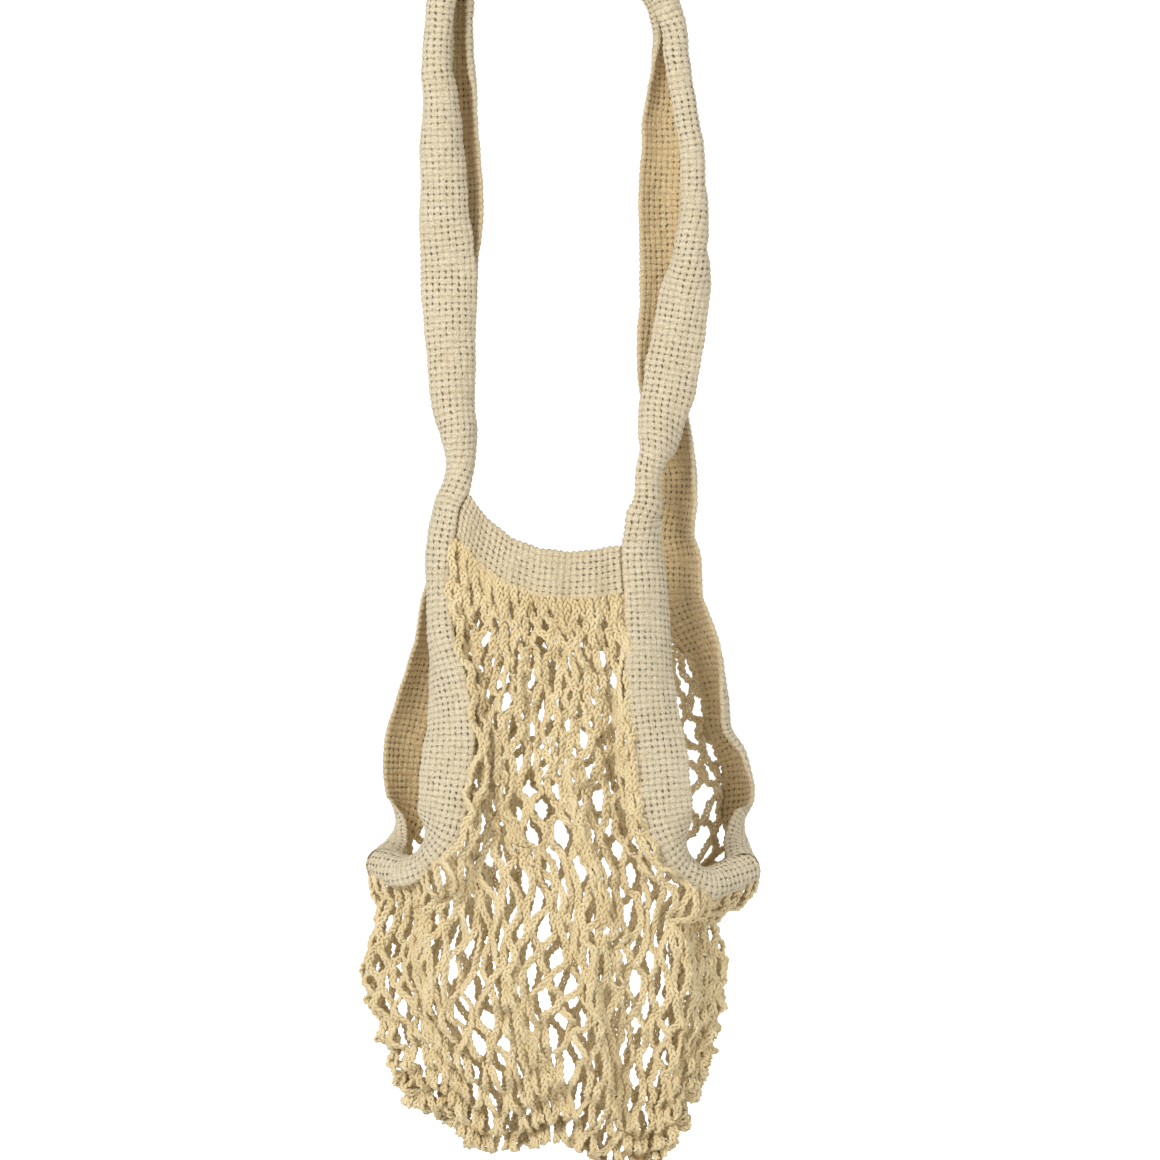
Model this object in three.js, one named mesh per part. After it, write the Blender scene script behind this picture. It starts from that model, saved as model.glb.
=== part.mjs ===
// Knitted string shopping bag, hanging open from its two long handles.
// Millimetres, +Z up, the front of the bag looks along -Y, +X is the viewer's right.
// The origin is the underside of the handles where the bag hangs.
import * as THREE from "three";

// Driving dimensions.
const HANDLE_DROP = 222;        // from the hanging point down to where the handles part
const OPENING_DROP = 170;       // from there down to the foot of the side openings
const NET_DROP = 115;           // from there down to the lowest fold of the net
const BODY_WIDTH = 164;         // widest place, at the foot of the side openings
const BODY_DEPTH = 70;          // front to back of the open net
const GRIP_SPAN = 94;           // between the two legs of a handle at the hanging point
const TAPE_WIDTH = 24;          // knitted tape of the handles and side openings, laid flat
const TAPE_THICKNESS = 2.2;
const TOP_BAND_HEIGHT = 20.5;   // knitted band across the mouth, front and back
const TOP_BAND_THICKNESS = 2.2;
const NET_WALL = 3;             // thickness of the knitted net
const NET_STRAND = 4.2;         // width of the net between two gaps
const SEAM_GAP = 0.35;          // clearance where two knitted edges are sewn together
const STRAP_GAP = 2;            // clearance between the front and the rear handle
const NET_LEAD = 8;             // how far the net runs straight on from the edge that carries it
const FOLD_DEPTH = 3.2;         // height of the gathers that run down the net
const FOLD_COUNT = 10;          // gathers round the net
const HEM_FOLD = 9;             // thickness of the closed bottom fold
const BAND_RIPPLE = 0.9;        // height of the gathers in the top bands
const BAND_RIPPLES = 4;

// How finely the shapes are drawn.
const TAPE_FACETS = 6;
const STRAP_STEPS = 42;
const SIDE_CELLS = 6;           // half net cells along one edge of a side opening
const BAND_CELLS = 8;           // half net cells along one top band
const CELL_SPLIT = 3;           // edge points for each half cell
const GAP_ROWS = 6;             // rows of gaps, one gap for every second half cell in each row
const NET_ROWS = GAP_ROWS + 1;
const NET_FINE = 6;             // surface rows worked out for each net row
const PATH_SAMPLES = 400;       // samples along a tape where its length is measured
const SEAM_SAMPLES = 240;       // samples down half a tape, where its seams are looked for
const UNDER_THE_FOLD = 0.25;    // share of them passed before a band's corner can come
const PATH_STEP = 0.02;         // share of a table row over which a direction is taken
const HALVINGS = 40;
const LEAST_CURL = 0.02;        // radians, as good as flat
const MOST_CURL = 300;          // degrees
const NEARLY = 1e-9;

const SIDE_STEPS = SIDE_CELLS * CELL_SPLIT;
const BAND_STEPS = BAND_CELLS * CELL_SPLIT;
const RIM_STEPS = 4 * SIDE_STEPS + 2 * BAND_STEPS;
const HALF_CELLS = RIM_STEPS / CELL_SPLIT;

const LEFT = -1;
const RIGHT = 1;
const FRONT = -1;
const REAR = 1;
const DOWNWARDS = [0, 0, -1];

// How the pieces blend into each other: numbers of steps, and shares.
const BAND_END_STEPS = 3;       // steps over which a band's face turns from its end to the front
const CORNER_STEPS = 4;         // steps over which the net turns down from a band's corner
const RIM_ROWS = 3;             // fine rows over which the net's face turns from its rim
const RIM_CLEARANCE = 1.5;      // gap under a band, as a share of the seam's
const LEAST_OPENING = 0.3;      // smallest gap in a net cell, as a share of the cell
const CORNER_OPENING = 0.94;    // how much less a gap reaches into its cell's corners
const HEM_CORNER_TAPER = 8;     // how soon the bottom fold reaches its full thickness
const FOLD_SWELL = 0.7;         // below 1 the gathers reach their height sooner
const SECOND_FOLD = 0.5;        // height of the second, wider set of gathers
const SECOND_FOLD_COUNT = FOLD_COUNT - 3;
const SECOND_FOLD_SLANT = 4;    // radians by which the second set runs sideways on the way down

// A table is written as its column names and one row for each section.
function table(columns, rows) {
  return rows.map((row) => Object.fromEntries(columns.map((name, i) => [name, row[i]])));
}

// Handle sections from the hanging point downwards.
// down: share of HANDLE_DROP. out: share of the span at that height. show: how much of the
// tape's width is seen from the front, the rest is rolled back. bias: 0 rolls both edges back
// alike, 1 rolls only the outer edge, above 1 turns the whole tape outwards.
const STRAP_COLUMNS = ["down", "out", "show", "bias"];
const FRONT_LEFT_STRAP = table(STRAP_COLUMNS, [
  [-0.025, -0.170, 0.40, 0.0],
  [-0.010, -0.340, 0.40, 0.0],
  [0.025, -0.445, 0.40, 0.0],
  [0.070, -0.460, 0.40, 0.0],
  [0.185, -0.440, 0.40, 0.0],
  [0.240, -0.415, 0.52, 0.0],
  [0.300, -0.395, 0.61, 0.0],
  [0.410, -0.365, 0.79, 0.0],
  [0.490, -0.345, 0.87, 0.0],
  [0.580, -0.315, 0.96, 0.0],
  [0.640, -0.305, 0.94, 0.0],
  [0.735, -0.285, 0.82, 0.0],
  [0.830, -0.265, 0.70, 0.0],
  [0.885, -0.247, 0.55, 0.1],
  [0.945, -0.235, 0.40, 0.3],
]);
const REAR_LEFT_STRAP = table(STRAP_COLUMNS, [
  [-0.025, -0.155, 0.40, 0.0],
  [-0.005, -0.295, 0.40, 0.0],
  [0.030, -0.375, 0.40, 0.0],
  [0.070, -0.380, 0.40, 0.0],
  [0.185, -0.355, 0.40, 0.0],
  [0.240, -0.340, 0.46, 0.0],
  [0.300, -0.325, 0.52, 0.0],
  [0.410, -0.305, 0.70, 0.0],
  [0.490, -0.295, 0.80, 0.0],
  [0.560, -0.300, 0.84, 0.0],
  [0.640, -0.290, 0.76, 0.0],
  [0.735, -0.280, 0.66, 0.0],
  [0.830, -0.260, 0.56, 0.0],
  [0.885, -0.240, 0.46, 0.0],
  [0.945, -0.235, 0.40, 0.2],
]);
const FRONT_RIGHT_STRAP = table(STRAP_COLUMNS, [
  [-0.015, 0.180, 0.40, 0.0],
  [0.015, 0.355, 0.40, 0.0],
  [0.055, 0.465, 0.40, 0.1],
  [0.095, 0.495, 0.38, 0.2],
  [0.130, 0.505, 0.36, 0.4],
  [0.195, 0.495, 0.35, 0.5],
  [0.315, 0.495, 0.35, 0.5],
  [0.365, 0.495, 0.35, 0.5],
  [0.450, 0.478, 0.40, 0.4],
  [0.540, 0.445, 0.52, 0.2],
  [0.585, 0.430, 0.66, 0.1],
  [0.640, 0.405, 0.85, 0.0],
  [0.730, 0.365, 0.93, 0.0],
  [0.830, 0.320, 0.88, 0.0],
  [0.885, 0.295, 0.72, 0.2],
  [0.925, 0.275, 0.52, 0.4],
  [0.965, 0.252, 0.42, 0.6],
]);
const REAR_RIGHT_STRAP = table(STRAP_COLUMNS, [
  [-0.015, 0.170, 0.40, 0.0],
  [0.015, 0.330, 0.40, 0.0],
  [0.055, 0.440, 0.40, 0.0],
  [0.095, 0.475, 0.40, 0.0],
  [0.140, 0.478, 0.40, 0.0],
  [0.205, 0.455, 0.50, 0.0],
  [0.255, 0.440, 0.70, 0.0],
  [0.300, 0.420, 0.80, 0.0],
  [0.355, 0.410, 0.88, 0.0],
  [0.450, 0.380, 0.88, 0.0],
  [0.540, 0.367, 0.88, 0.0],
  [0.640, 0.350, 0.88, 0.0],
  [0.745, 0.320, 0.88, 0.0],
  [0.830, 0.315, 0.77, 0.0],
  [0.885, 0.320, 0.70, 0.2],
  [0.960, 0.330, 0.60, 0.4],
]);

// Tape sections down one edge of a side opening, to its foot.
// down: share of OPENING_DROP. out: share of BODY_WIDTH. deep: share of BODY_DEPTH.
// show and bias as above. turn: degrees that the tape has turned from the front to the side.
const SIDE_COLUMNS = ["down", "out", "deep", "show", "bias", "turn"];
const FRONT_LEFT_SIDE = table(SIDE_COLUMNS, [
  [-0.010, -0.240, 0.20, 0.44, 0.6, 0],
  [0.040, -0.260, 0.22, 0.44, 0.8, 0],
  [0.100, -0.272, 0.23, 0.44, 0.8, 0],
  [0.160, -0.278, 0.24, 0.43, 0.8, 0],
  [0.250, -0.280, 0.26, 0.40, 0.8, 0],
  [0.350, -0.275, 0.30, 0.42, 0.8, 0],
  [0.420, -0.262, 0.33, 0.55, 0.9, 0],
  [0.525, -0.250, 0.38, 0.72, 1.0, 0],
  [0.630, -0.255, 0.44, 0.90, 1.0, 0],
  [0.740, -0.268, 0.47, 0.90, 1.0, 0],
  [0.815, -0.280, 0.46, 0.88, 1.0, 5],
  [0.870, -0.303, 0.42, 0.76, 1.0, 20],
  [0.918, -0.345, 0.34, 0.60, 0.8, 42],
  [0.940, -0.400, 0.21, 0.48, 0.6, 65],
  [0.925, -0.462, 0.00, 0.48, 0.4, 90],
]);
const REAR_LEFT_SIDE = table(SIDE_COLUMNS, [
  [-0.010, -0.240, 0.20, 0.40, 0.3, 0],
  [0.040, -0.250, 0.21, 0.42, 0.4, 0],
  [0.120, -0.260, 0.22, 0.52, 0.5, 0],
  [0.205, -0.260, 0.24, 0.63, 0.5, 0],
  [0.280, -0.275, 0.27, 0.72, 0.6, 0],
  [0.370, -0.290, 0.30, 0.76, 0.7, 0],
  [0.455, -0.315, 0.34, 0.80, 0.8, 0],
  [0.560, -0.345, 0.39, 0.86, 1.0, 0],
  [0.640, -0.365, 0.42, 0.86, 1.0, 0],
  [0.720, -0.373, 0.43, 0.84, 1.0, 5],
  [0.790, -0.378, 0.42, 0.80, 1.0, 15],
  [0.850, -0.400, 0.36, 0.74, 1.0, 35],
  [0.900, -0.436, 0.22, 0.58, 0.7, 60],
  [0.925, -0.462, 0.00, 0.48, 0.4, 90],
]);
const FRONT_RIGHT_SIDE = table(SIDE_COLUMNS, [
  [0.025, 0.245, 0.21, 0.44, 0.7, 0],
  [0.065, 0.237, 0.22, 0.56, 0.8, 0],
  [0.110, 0.235, 0.23, 0.66, 0.8, 0],
  [0.170, 0.236, 0.24, 0.73, 0.8, 0],
  [0.270, 0.245, 0.27, 0.76, 0.9, 0],
  [0.370, 0.250, 0.31, 0.77, 0.9, 0],
  [0.495, 0.257, 0.36, 0.84, 1.0, 0],
  [0.600, 0.273, 0.40, 0.89, 1.0, 0],
  [0.705, 0.286, 0.44, 0.94, 1.0, 0],
  [0.810, 0.300, 0.46, 0.94, 1.0, 5],
  [0.885, 0.325, 0.43, 0.80, 1.0, 18],
  [0.940, 0.365, 0.36, 0.66, 0.8, 36],
  [0.970, 0.430, 0.26, 0.48, 0.6, 58],
  [0.935, 0.533, 0.00, 0.50, 0.4, 90],
]);
const REAR_RIGHT_SIDE = table(SIDE_COLUMNS, [
  [0.025, 0.325, 0.21, 0.63, 0.5, 0],
  [0.110, 0.315, 0.22, 0.70, 0.5, 0],
  [0.170, 0.328, 0.24, 0.77, 0.6, 0],
  [0.270, 0.332, 0.27, 0.77, 0.8, 0],
  [0.350, 0.368, 0.30, 0.72, 1.0, 0],
  [0.405, 0.395, 0.32, 0.56, 1.1, 0],
  [0.455, 0.410, 0.34, 0.44, 1.2, 0],
  [0.515, 0.423, 0.36, 0.38, 1.2, 0],
  [0.595, 0.433, 0.39, 0.38, 1.2, 0],
  [0.665, 0.473, 0.41, 0.44, 1.1, 0],
  [0.755, 0.490, 0.42, 0.58, 1.0, 8],
  [0.835, 0.495, 0.37, 0.72, 1.0, 30],
  [0.900, 0.518, 0.21, 0.60, 0.7, 60],
  [0.935, 0.533, 0.00, 0.50, 0.4, 90],
]);

// Where the top bands are sewn on: share of OPENING_DROP at the band's upper corner.
const BAND_CORNERS = { frontLeft: 0.005, frontRight: 0.135, rearLeft: 0.150, rearRight: 0.155 };

// How a top band sags between its two corners.
// along: share of the span. sag: share of the span. bulge: share of BODY_DEPTH, outwards.
const BAND_COLUMNS = ["along", "sag", "bulge"];
const FRONT_BAND = table(BAND_COLUMNS, [
  [0.00, 0.000, 0.00],
  [0.13, 0.125, 0.01],
  [0.28, 0.185, 0.03],
  [0.47, 0.195, 0.05],
  [0.65, 0.155, 0.05],
  [0.83, 0.085, 0.03],
  [1.00, 0.000, 0.00],
]);
const REAR_BAND = table(BAND_COLUMNS, [
  [0.00, 0.000, 0.00],
  [0.20, 0.040, 0.03],
  [0.40, 0.065, 0.05],
  [0.60, 0.070, 0.05],
  [0.80, 0.045, 0.03],
  [1.00, 0.000, 0.00],
]);

// Level sections of the net below the side openings.
// down: share of NET_DROP. left, right: shares of BODY_WIDTH. deep: share of BODY_DEPTH.
// even: 0 keeps the strands where they come from, 1 spreads them evenly.
const NET_RINGS = table(["down", "left", "right", "deep", "even"], [
  [0.08, -0.420, 0.417, 0.42, 0.0],
  [0.28, -0.452, 0.440, 0.44, 0.2],
  [0.56, -0.400, 0.400, 0.30, 0.6],
]);

// Where each half cell of the rim comes down to on the first ring: share of the half width,
// counted from the side opening's foot to the middle of the front or the back.
const FAN = table(["frontLeft", "frontRight", "rearLeft", "rearRight"], [
  [1.00, 1.00, 1.00, 1.00],
  [0.80, 0.86, 0.90, 0.95],
  [0.60, 0.68, 0.76, 0.86],
  [0.46, 0.52, 0.65, 0.76],
  [0.39, 0.42, 0.56, 0.65],
  [0.33, 0.34, 0.47, 0.53],
  [0.27, 0.27, 0.38, 0.41],
  [0.20, 0.20, 0.29, 0.31],
  [0.135, 0.135, 0.19, 0.21],
  [0.07, 0.07, 0.10, 0.10],
  [0.00, 0.00, 0.00, 0.00],
]);

// The bottom fold, from the left to the right.
// out: share of BODY_WIDTH. down: share of NET_DROP.
const HEM = table(["out", "down"], [
  [-0.355, 0.735],
  [-0.295, 0.810],
  [-0.250, 0.790],
  [-0.210, 0.895],
  [-0.130, 0.920],
  [-0.045, 0.895],
  [0.030, 0.870],
  [0.090, 0.935],
  [0.160, 1.000],
  [0.245, 0.995],
  [0.300, 0.860],
  [0.355, 0.690],
]);

const COTTON = { roughness: 0.92, metalness: 0 };
const TAPE_MATERIAL = { ...COTTON, color: 0xded1b2 };
const BAND_MATERIAL = { ...COTTON, color: 0xd8caa9 };
const NET_MATERIAL = { ...COTTON, color: 0xd9c595 };

const radians = (degrees) => degrees * Math.PI / 180;
const mix = (a, b, share) => a + (b - a) * share;
const clamp01 = (value) => Math.min(1, Math.max(0, value));
const smooth = (value) => clamp01(value) ** 2 * (3 - 2 * clamp01(value));

// Smooth curve through numbers: t counts the rows, whole values hit them.
function through(values, t) {
  const last = values.length - 1;
  const i = Math.min(Math.max(Math.floor(t), 0), last - 1);
  const f = t - i;
  const [a, b, c, d] = [i - 1, i, i + 1, i + 2].map((k) => values[Math.min(Math.max(k, 0), last)]);
  return 0.5 * (2 * b + (c - a) * f + (2 * a - 5 * b + 4 * c - d) * f ** 2
    + (3 * b - a - 3 * c + d) * f ** 3);
}

// Value of one column at a given value of another, rising column, by straight lines.
function lookUp(rows, key, value, column) {
  const i = Math.max(1, rows.findIndex((row) => row[key] >= value - NEARLY));
  const [a, b] = [rows[i - 1], rows[i]];
  return mix(a[column], b[column], clamp01((value - a[key]) / (b[key] - a[key])));
}

// Seen width of an arc of unit length that turns by `curl`, rolled by `bias`.
function seenWidth(curl, bias) {
  const low = -(1 + bias) * curl / 2;
  const high = (1 - bias) * curl / 2;
  const sines = [Math.sin(low), Math.sin(high)];
  if (low < -Math.PI / 2) sines.push(-1);
  if (high > Math.PI / 2) sines.push(1);
  return (Math.max(...sines) - Math.min(...sines)) / curl;
}

// The curl that shows a wanted share of the tape's width. The cloth keeps its width.
function curlFor(show, bias) {
  let [least, most] = [LEAST_CURL, radians(MOST_CURL)];
  for (let n = 0; n < HALVINGS; n++) {
    const middle = (least + most) / 2;
    if (seenWidth(middle, bias) > show) {
      least = middle;
    } else {
      most = middle;
    }
  }
  return (least + most) / 2;
}

// Tape section as an arc: across points towards the net edge, out points away from the bag.
function tapeSection(show, bias) {
  const curl = curlFor(show, bias);
  const radius = TAPE_WIDTH / curl;
  const low = -(1 + bias) * curl / 2;
  const points = [];
  for (let n = 0; n <= TAPE_FACETS; n++) {
    const angle = low + curl * n / TAPE_FACETS;
    points.push({ across: radius * Math.sin(angle), out: radius * Math.cos(angle), angle });
  }
  const across = points.map((p) => p.across);
  const middle = (Math.max(...across) + Math.min(...across)) / 2;
  const front = Math.max(...points.map((p) => p.out));
  for (const p of points) {
    p.across -= middle;
    p.out -= front;
  }
  return points;
}

const depthOf = (section) => -Math.min(...section.map((p) => p.out));

// Rows of one quarter of the tapes, in millimetres, from the hanging point to the foot.
function quarterRows(strap, side, where) {
  const clear = (row) => depthOf(tapeSection(row.show, row.bias))
    + (TAPE_THICKNESS + STRAP_GAP) / 2;
  const straps = strap.map((row) => ({
    x: row.out * mix(GRIP_SPAN, BODY_WIDTH, clamp01(row.down)),
    y: where.facing * clear(row),
    z: -row.down * HANDLE_DROP,
    show: row.show, bias: row.bias, turn: 0, ...where,
  }));
  const sides = side.map((row) => ({
    x: row.out * BODY_WIDTH,
    y: where.facing * Math.max(row.deep * BODY_DEPTH, row.turn > 0 ? 0 : clear(row)),
    z: -HANDLE_DROP - row.down * OPENING_DROP,
    show: row.show, bias: row.bias, turn: row.turn, ...where,
  }));
  return [...straps, ...sides];
}

// A whole tape: up one side opening, over the hanging point and down the other.
class Tape {
  constructor(climbing, falling) {
    const rows = [...climbing].reverse();
    const apexShow = mix(climbing[0].show, falling[0].show, 0.5);
    const apex = { ...falling[0], x: 0, show: apexShow, turn: 0, bias: 0 };
    apex.y = mix(climbing[0].y, falling[0].y, 0.5);
    apex.z = apexShow * TAPE_WIDTH / 2 + TAPE_THICKNESS / 2;
    this.rows = [...rows, apex, ...falling];
    for (const row of this.rows) {
      row.faceX = (row.x < 0 ? LEFT : RIGHT) * Math.sin(radians(row.turn));
      row.faceY = row.facing * Math.cos(radians(row.turn));
    }
    this.columns = {};
    for (const name of ["x", "y", "z", "show", "bias", "faceX", "faceY"]) {
      this.columns[name] = this.rows.map((row) => row[name]);
    }
    this.apexAt = rows.length;
    this.length = this.rows.length - 1;
  }

  value(name, t) {
    return through(this.columns[name], t);
  }

  centre(t) {
    return new THREE.Vector3(this.value("x", t), this.value("y", t), this.value("z", t));
  }

  // The tape's section at t: points, outward normals and the direction at the net edge.
  station(t) {
    const centre = this.centre(t);
    const along = this.centre(Math.min(t + PATH_STEP, this.length))
      .sub(this.centre(Math.max(t - PATH_STEP, 0)));
    const atStart = t < NEARLY;
    if (atStart || t > this.length - NEARLY) {
      const facing = this.rows[this.apexAt].facing;
      along.set(0, atStart ? facing : -facing, 0);
      centre.y = facing * SEAM_GAP / 2;
    }
    along.normalize();
    const face = new THREE.Vector3(this.value("faceX", t), this.value("faceY", t), 0);
    face.addScaledVector(along, -face.dot(along)).normalize();
    const across = face.clone().cross(along);
    const section = tapeSection(this.value("show", t), this.value("bias", t));
    const place = (p) => centre.clone().addScaledVector(across, p.across)
      .addScaledVector(face, p.out);
    const points = section.map(place);
    const normals = section.map((p) => across.clone().multiplyScalar(Math.sin(p.angle))
      .addScaledVector(face, Math.cos(p.angle)));
    const lastAngle = section[TAPE_FACETS].angle;
    const edgeWay = across.clone().multiplyScalar(Math.cos(lastAngle))
      .addScaledVector(face, -Math.sin(lastAngle));
    const [edge, edgeNormal] = [points[TAPE_FACETS], normals[TAPE_FACETS]];
    return { points, normals, edge, edgeNormal, edgeWay };
  }

  // Places along one half of the tape, from where a top band's upper corner is sewn on.
  seamPlaces(half, cornerDown) {
    const foot = half === "climbing" ? 0 : this.length;
    const samples = [];
    for (let n = 0; n <= SEAM_SAMPLES; n++) {
      const t = mix(this.apexAt, foot, n / SEAM_SAMPLES);
      samples.push({ t, edge: this.station(t).edge });
    }
    const cornerHeight = -HANDLE_DROP - cornerDown * OPENING_DROP;
    const first = samples.findIndex((s, n) => {
      return n > SEAM_SAMPLES * UNDER_THE_FOLD && s.edge.z <= cornerHeight;
    });
    let run = 0;
    const lengths = samples.slice(first).map((s, n, rest) => {
      run += n === 0 ? 0 : s.edge.distanceTo(rest[n - 1].edge);
      return { t: s.t, run };
    });
    const placeAt = (length) => {
      const n = Math.max(1, lengths.findIndex((s) => s.run >= length - NEARLY));
      const [a, b] = [lengths[n - 1], lengths[n]];
      return mix(a.t, b.t, (length - a.run) / (b.run - a.run));
    };
    const band = [0, 0.5, 1].map((share) => placeAt(share * TOP_BAND_HEIGHT));
    const rimStart = TOP_BAND_HEIGHT + SEAM_GAP;
    const rim = [];
    for (let n = 0; n < SIDE_STEPS; n++) {
      rim.push(placeAt(mix(rimStart, run, n / SIDE_STEPS)));
    }
    rim.push(foot);
    return { band, rim };
  }

  // Equal steps over the hanging point between the two top band seams.
  strapPlaces(from, to) {
    const samples = [];
    let run = 0;
    let before = this.centre(from);
    for (let n = 0; n <= PATH_SAMPLES; n++) {
      const t = mix(from, to, n / PATH_SAMPLES);
      const centre = this.centre(t);
      run += centre.distanceTo(before);
      before = centre;
      samples.push({ t, run });
    }
    const places = [];
    for (let n = 1; n < STRAP_STEPS; n++) {
      places.push(lookUp(samples, "run", run * n / STRAP_STEPS, "t"));
    }
    return places;
  }

  seams(climbCorner, fallCorner) {
    const climb = this.seamPlaces("climbing", climbCorner);
    const fall = this.seamPlaces("falling", fallCorner);
    const strap = this.strapPlaces(climb.band[0], fall.band[0]);
    const climbing = [...climb.band, ...climb.rim].reverse();
    const places = [...climbing, ...strap, ...fall.band, ...fall.rim];
    return { climb, fall, places };
  }
}

// Closed solid from a grid of middle points with normals: two faces and four borders.
function sheetSolid(rows, thickness) {
  const across = rows[0].points.length;
  const positions = [];
  const offset = (sign) => rows.forEach((row) => row.points.forEach((point, n) => {
    const p = point.clone().addScaledVector(row.normals[n], sign * thickness / 2);
    positions.push(p.x, p.y, p.z);
  }));
  offset(1);
  offset(-1);
  const inner = rows.length * across;
  const faces = [];
  const quad = (a, b, c, d) => faces.push(a, b, c, a, c, d);
  const at = (i, j) => i * across + j;
  for (let i = 0; i + 1 < rows.length; i++) {
    for (let j = 0; j + 1 < across; j++) {
      quad(at(i, j), at(i, j + 1), at(i + 1, j + 1), at(i + 1, j));
      quad(inner + at(i, j), inner + at(i + 1, j), inner + at(i + 1, j + 1), inner + at(i, j + 1));
    }
  }
  const border = [];
  for (let j = 0; j + 1 < across; j++) border.push(at(0, j));
  for (let i = 0; i + 1 < rows.length; i++) border.push(at(i, across - 1));
  for (let j = across - 1; j > 0; j--) border.push(at(rows.length - 1, j));
  for (let i = rows.length - 1; i > 0; i--) border.push(at(i, 0));
  border.forEach((a, n) => {
    const b = border[(n + 1) % border.length];
    quad(b, a, inner + a, inner + b);
  });
  return closedGeometry(positions, faces);
}

// Geometry from points and triangles, turned so that its faces look outwards.
function closedGeometry(positions, faces) {
  const corner = (n) => new THREE.Vector3().fromArray(positions, 3 * n);
  let volume = 0;
  for (let n = 0; n < faces.length; n += 3) {
    volume += corner(faces[n]).dot(corner(faces[n + 1]).cross(corner(faces[n + 2])));
  }
  const turned = (n) => faces[n - n % 3 + [0, 2, 1][n % 3]];
  const ordered = volume > 0 ? faces : faces.map((_, n) => turned(n));
  const geometry = new THREE.BufferGeometry();
  geometry.setAttribute("position", new THREE.Float32BufferAttribute(positions, 3));
  geometry.setIndex(ordered);
  geometry.computeVertexNormals();
  return geometry;
}

// Top band between two tape edges: columns of three points, upper edge first.
function bandRows(shape, start, end, facing) {
  const carry = (stations) => stations.map((s) => s.edge.clone()
    .addScaledVector(s.edgeWay, SEAM_GAP));
  const [first, last] = [carry(start), carry(end)];
  const span = first[0].distanceTo(last[0]);
  const drop = (points) => points[2].clone().sub(points[0]).normalize();
  const outward = new THREE.Vector3(0, facing, 0);
  const rows = [];
  for (let n = 0; n <= BAND_STEPS; n++) {
    const along = n / BAND_STEPS;
    if (n === 0 || n === BAND_STEPS) {
      const [points, stations] = n === 0 ? [first, start] : [last, end];
      rows.push({ points, normals: stations.map((s) => s.edgeNormal.clone()) });
      continue;
    }
    const top = first[0].clone().lerp(last[0], along);
    top.z -= lookUp(shape, "along", along, "sag") * span;
    const bulge = lookUp(shape, "along", along, "bulge") * BODY_DEPTH;
    const ripple = BAND_RIPPLE * Math.sin(2 * Math.PI * BAND_RIPPLES * along);
    const way = drop(first).lerp(drop(last), along).normalize();
    const points = [0, 0.5, 1].map((share) => top.clone()
      .addScaledVector(way, share * TOP_BAND_HEIGHT)
      .addScaledVector(outward, bulge + ripple * (0.5 + share)));
    const turned = smooth(Math.min(along, 1 - along) * BAND_STEPS / BAND_END_STEPS);
    const edgeStations = along < 0.5 ? start : end;
    const normals = edgeStations.map((s) => s.edgeNormal.clone().lerp(outward, turned).normalize());
    rows.push({ points, normals });
  }
  return rows;
}

// The net's upper edge, once round: from the right foot over the front to the left foot and back.
function netRim(front, rear, frontBand, rearBand) {
  const down = new THREE.Vector3(...DOWNWARDS);
  const onTape = (tape, places) => places.map((t, n) => {
    const s = tape.station(t);
    const point = s.edge.clone().addScaledVector(s.edgeWay, SEAM_GAP);
    const way = s.edgeWay.clone().lerp(down, smooth(1 - n / CORNER_STEPS)).normalize();
    return { point, normal: s.edgeNormal, way };
  });
  const onBand = (rows) => rows.map((row, n) => {
    const before = rows[Math.max(n - 1, 0)].points[2];
    const after = rows[Math.min(n + 1, rows.length - 1)].points[2];
    const edge = after.clone().sub(before).normalize();
    const square = down.clone().addScaledVector(edge, -down.dot(edge)).normalize();
    const point = row.points[2].clone().addScaledVector(square, RIM_CLEARANCE * SEAM_GAP);
    return { point, normal: row.normals[2], way: square.add(down).normalize() };
  });
  const frontClimb = onTape(front.tape, front.seams.climb.rim).reverse();
  const frontFall = onTape(front.tape, front.seams.fall.rim);
  const rearClimb = onTape(rear.tape, rear.seams.climb.rim).reverse();
  const rearFall = onTape(rear.tape, rear.seams.fall.rim);
  const rim = [
    ...frontClimb, ...onBand(frontBand).reverse().slice(1, -1), ...frontFall.slice(0, -1),
    ...rearClimb, ...onBand(rearBand).slice(1, -1), ...rearFall.slice(0, -1),
  ];
  for (const foot of [rim[0], rim[RIM_STEPS / 2]]) foot.point.y = 0;
  return rim;
}

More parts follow.
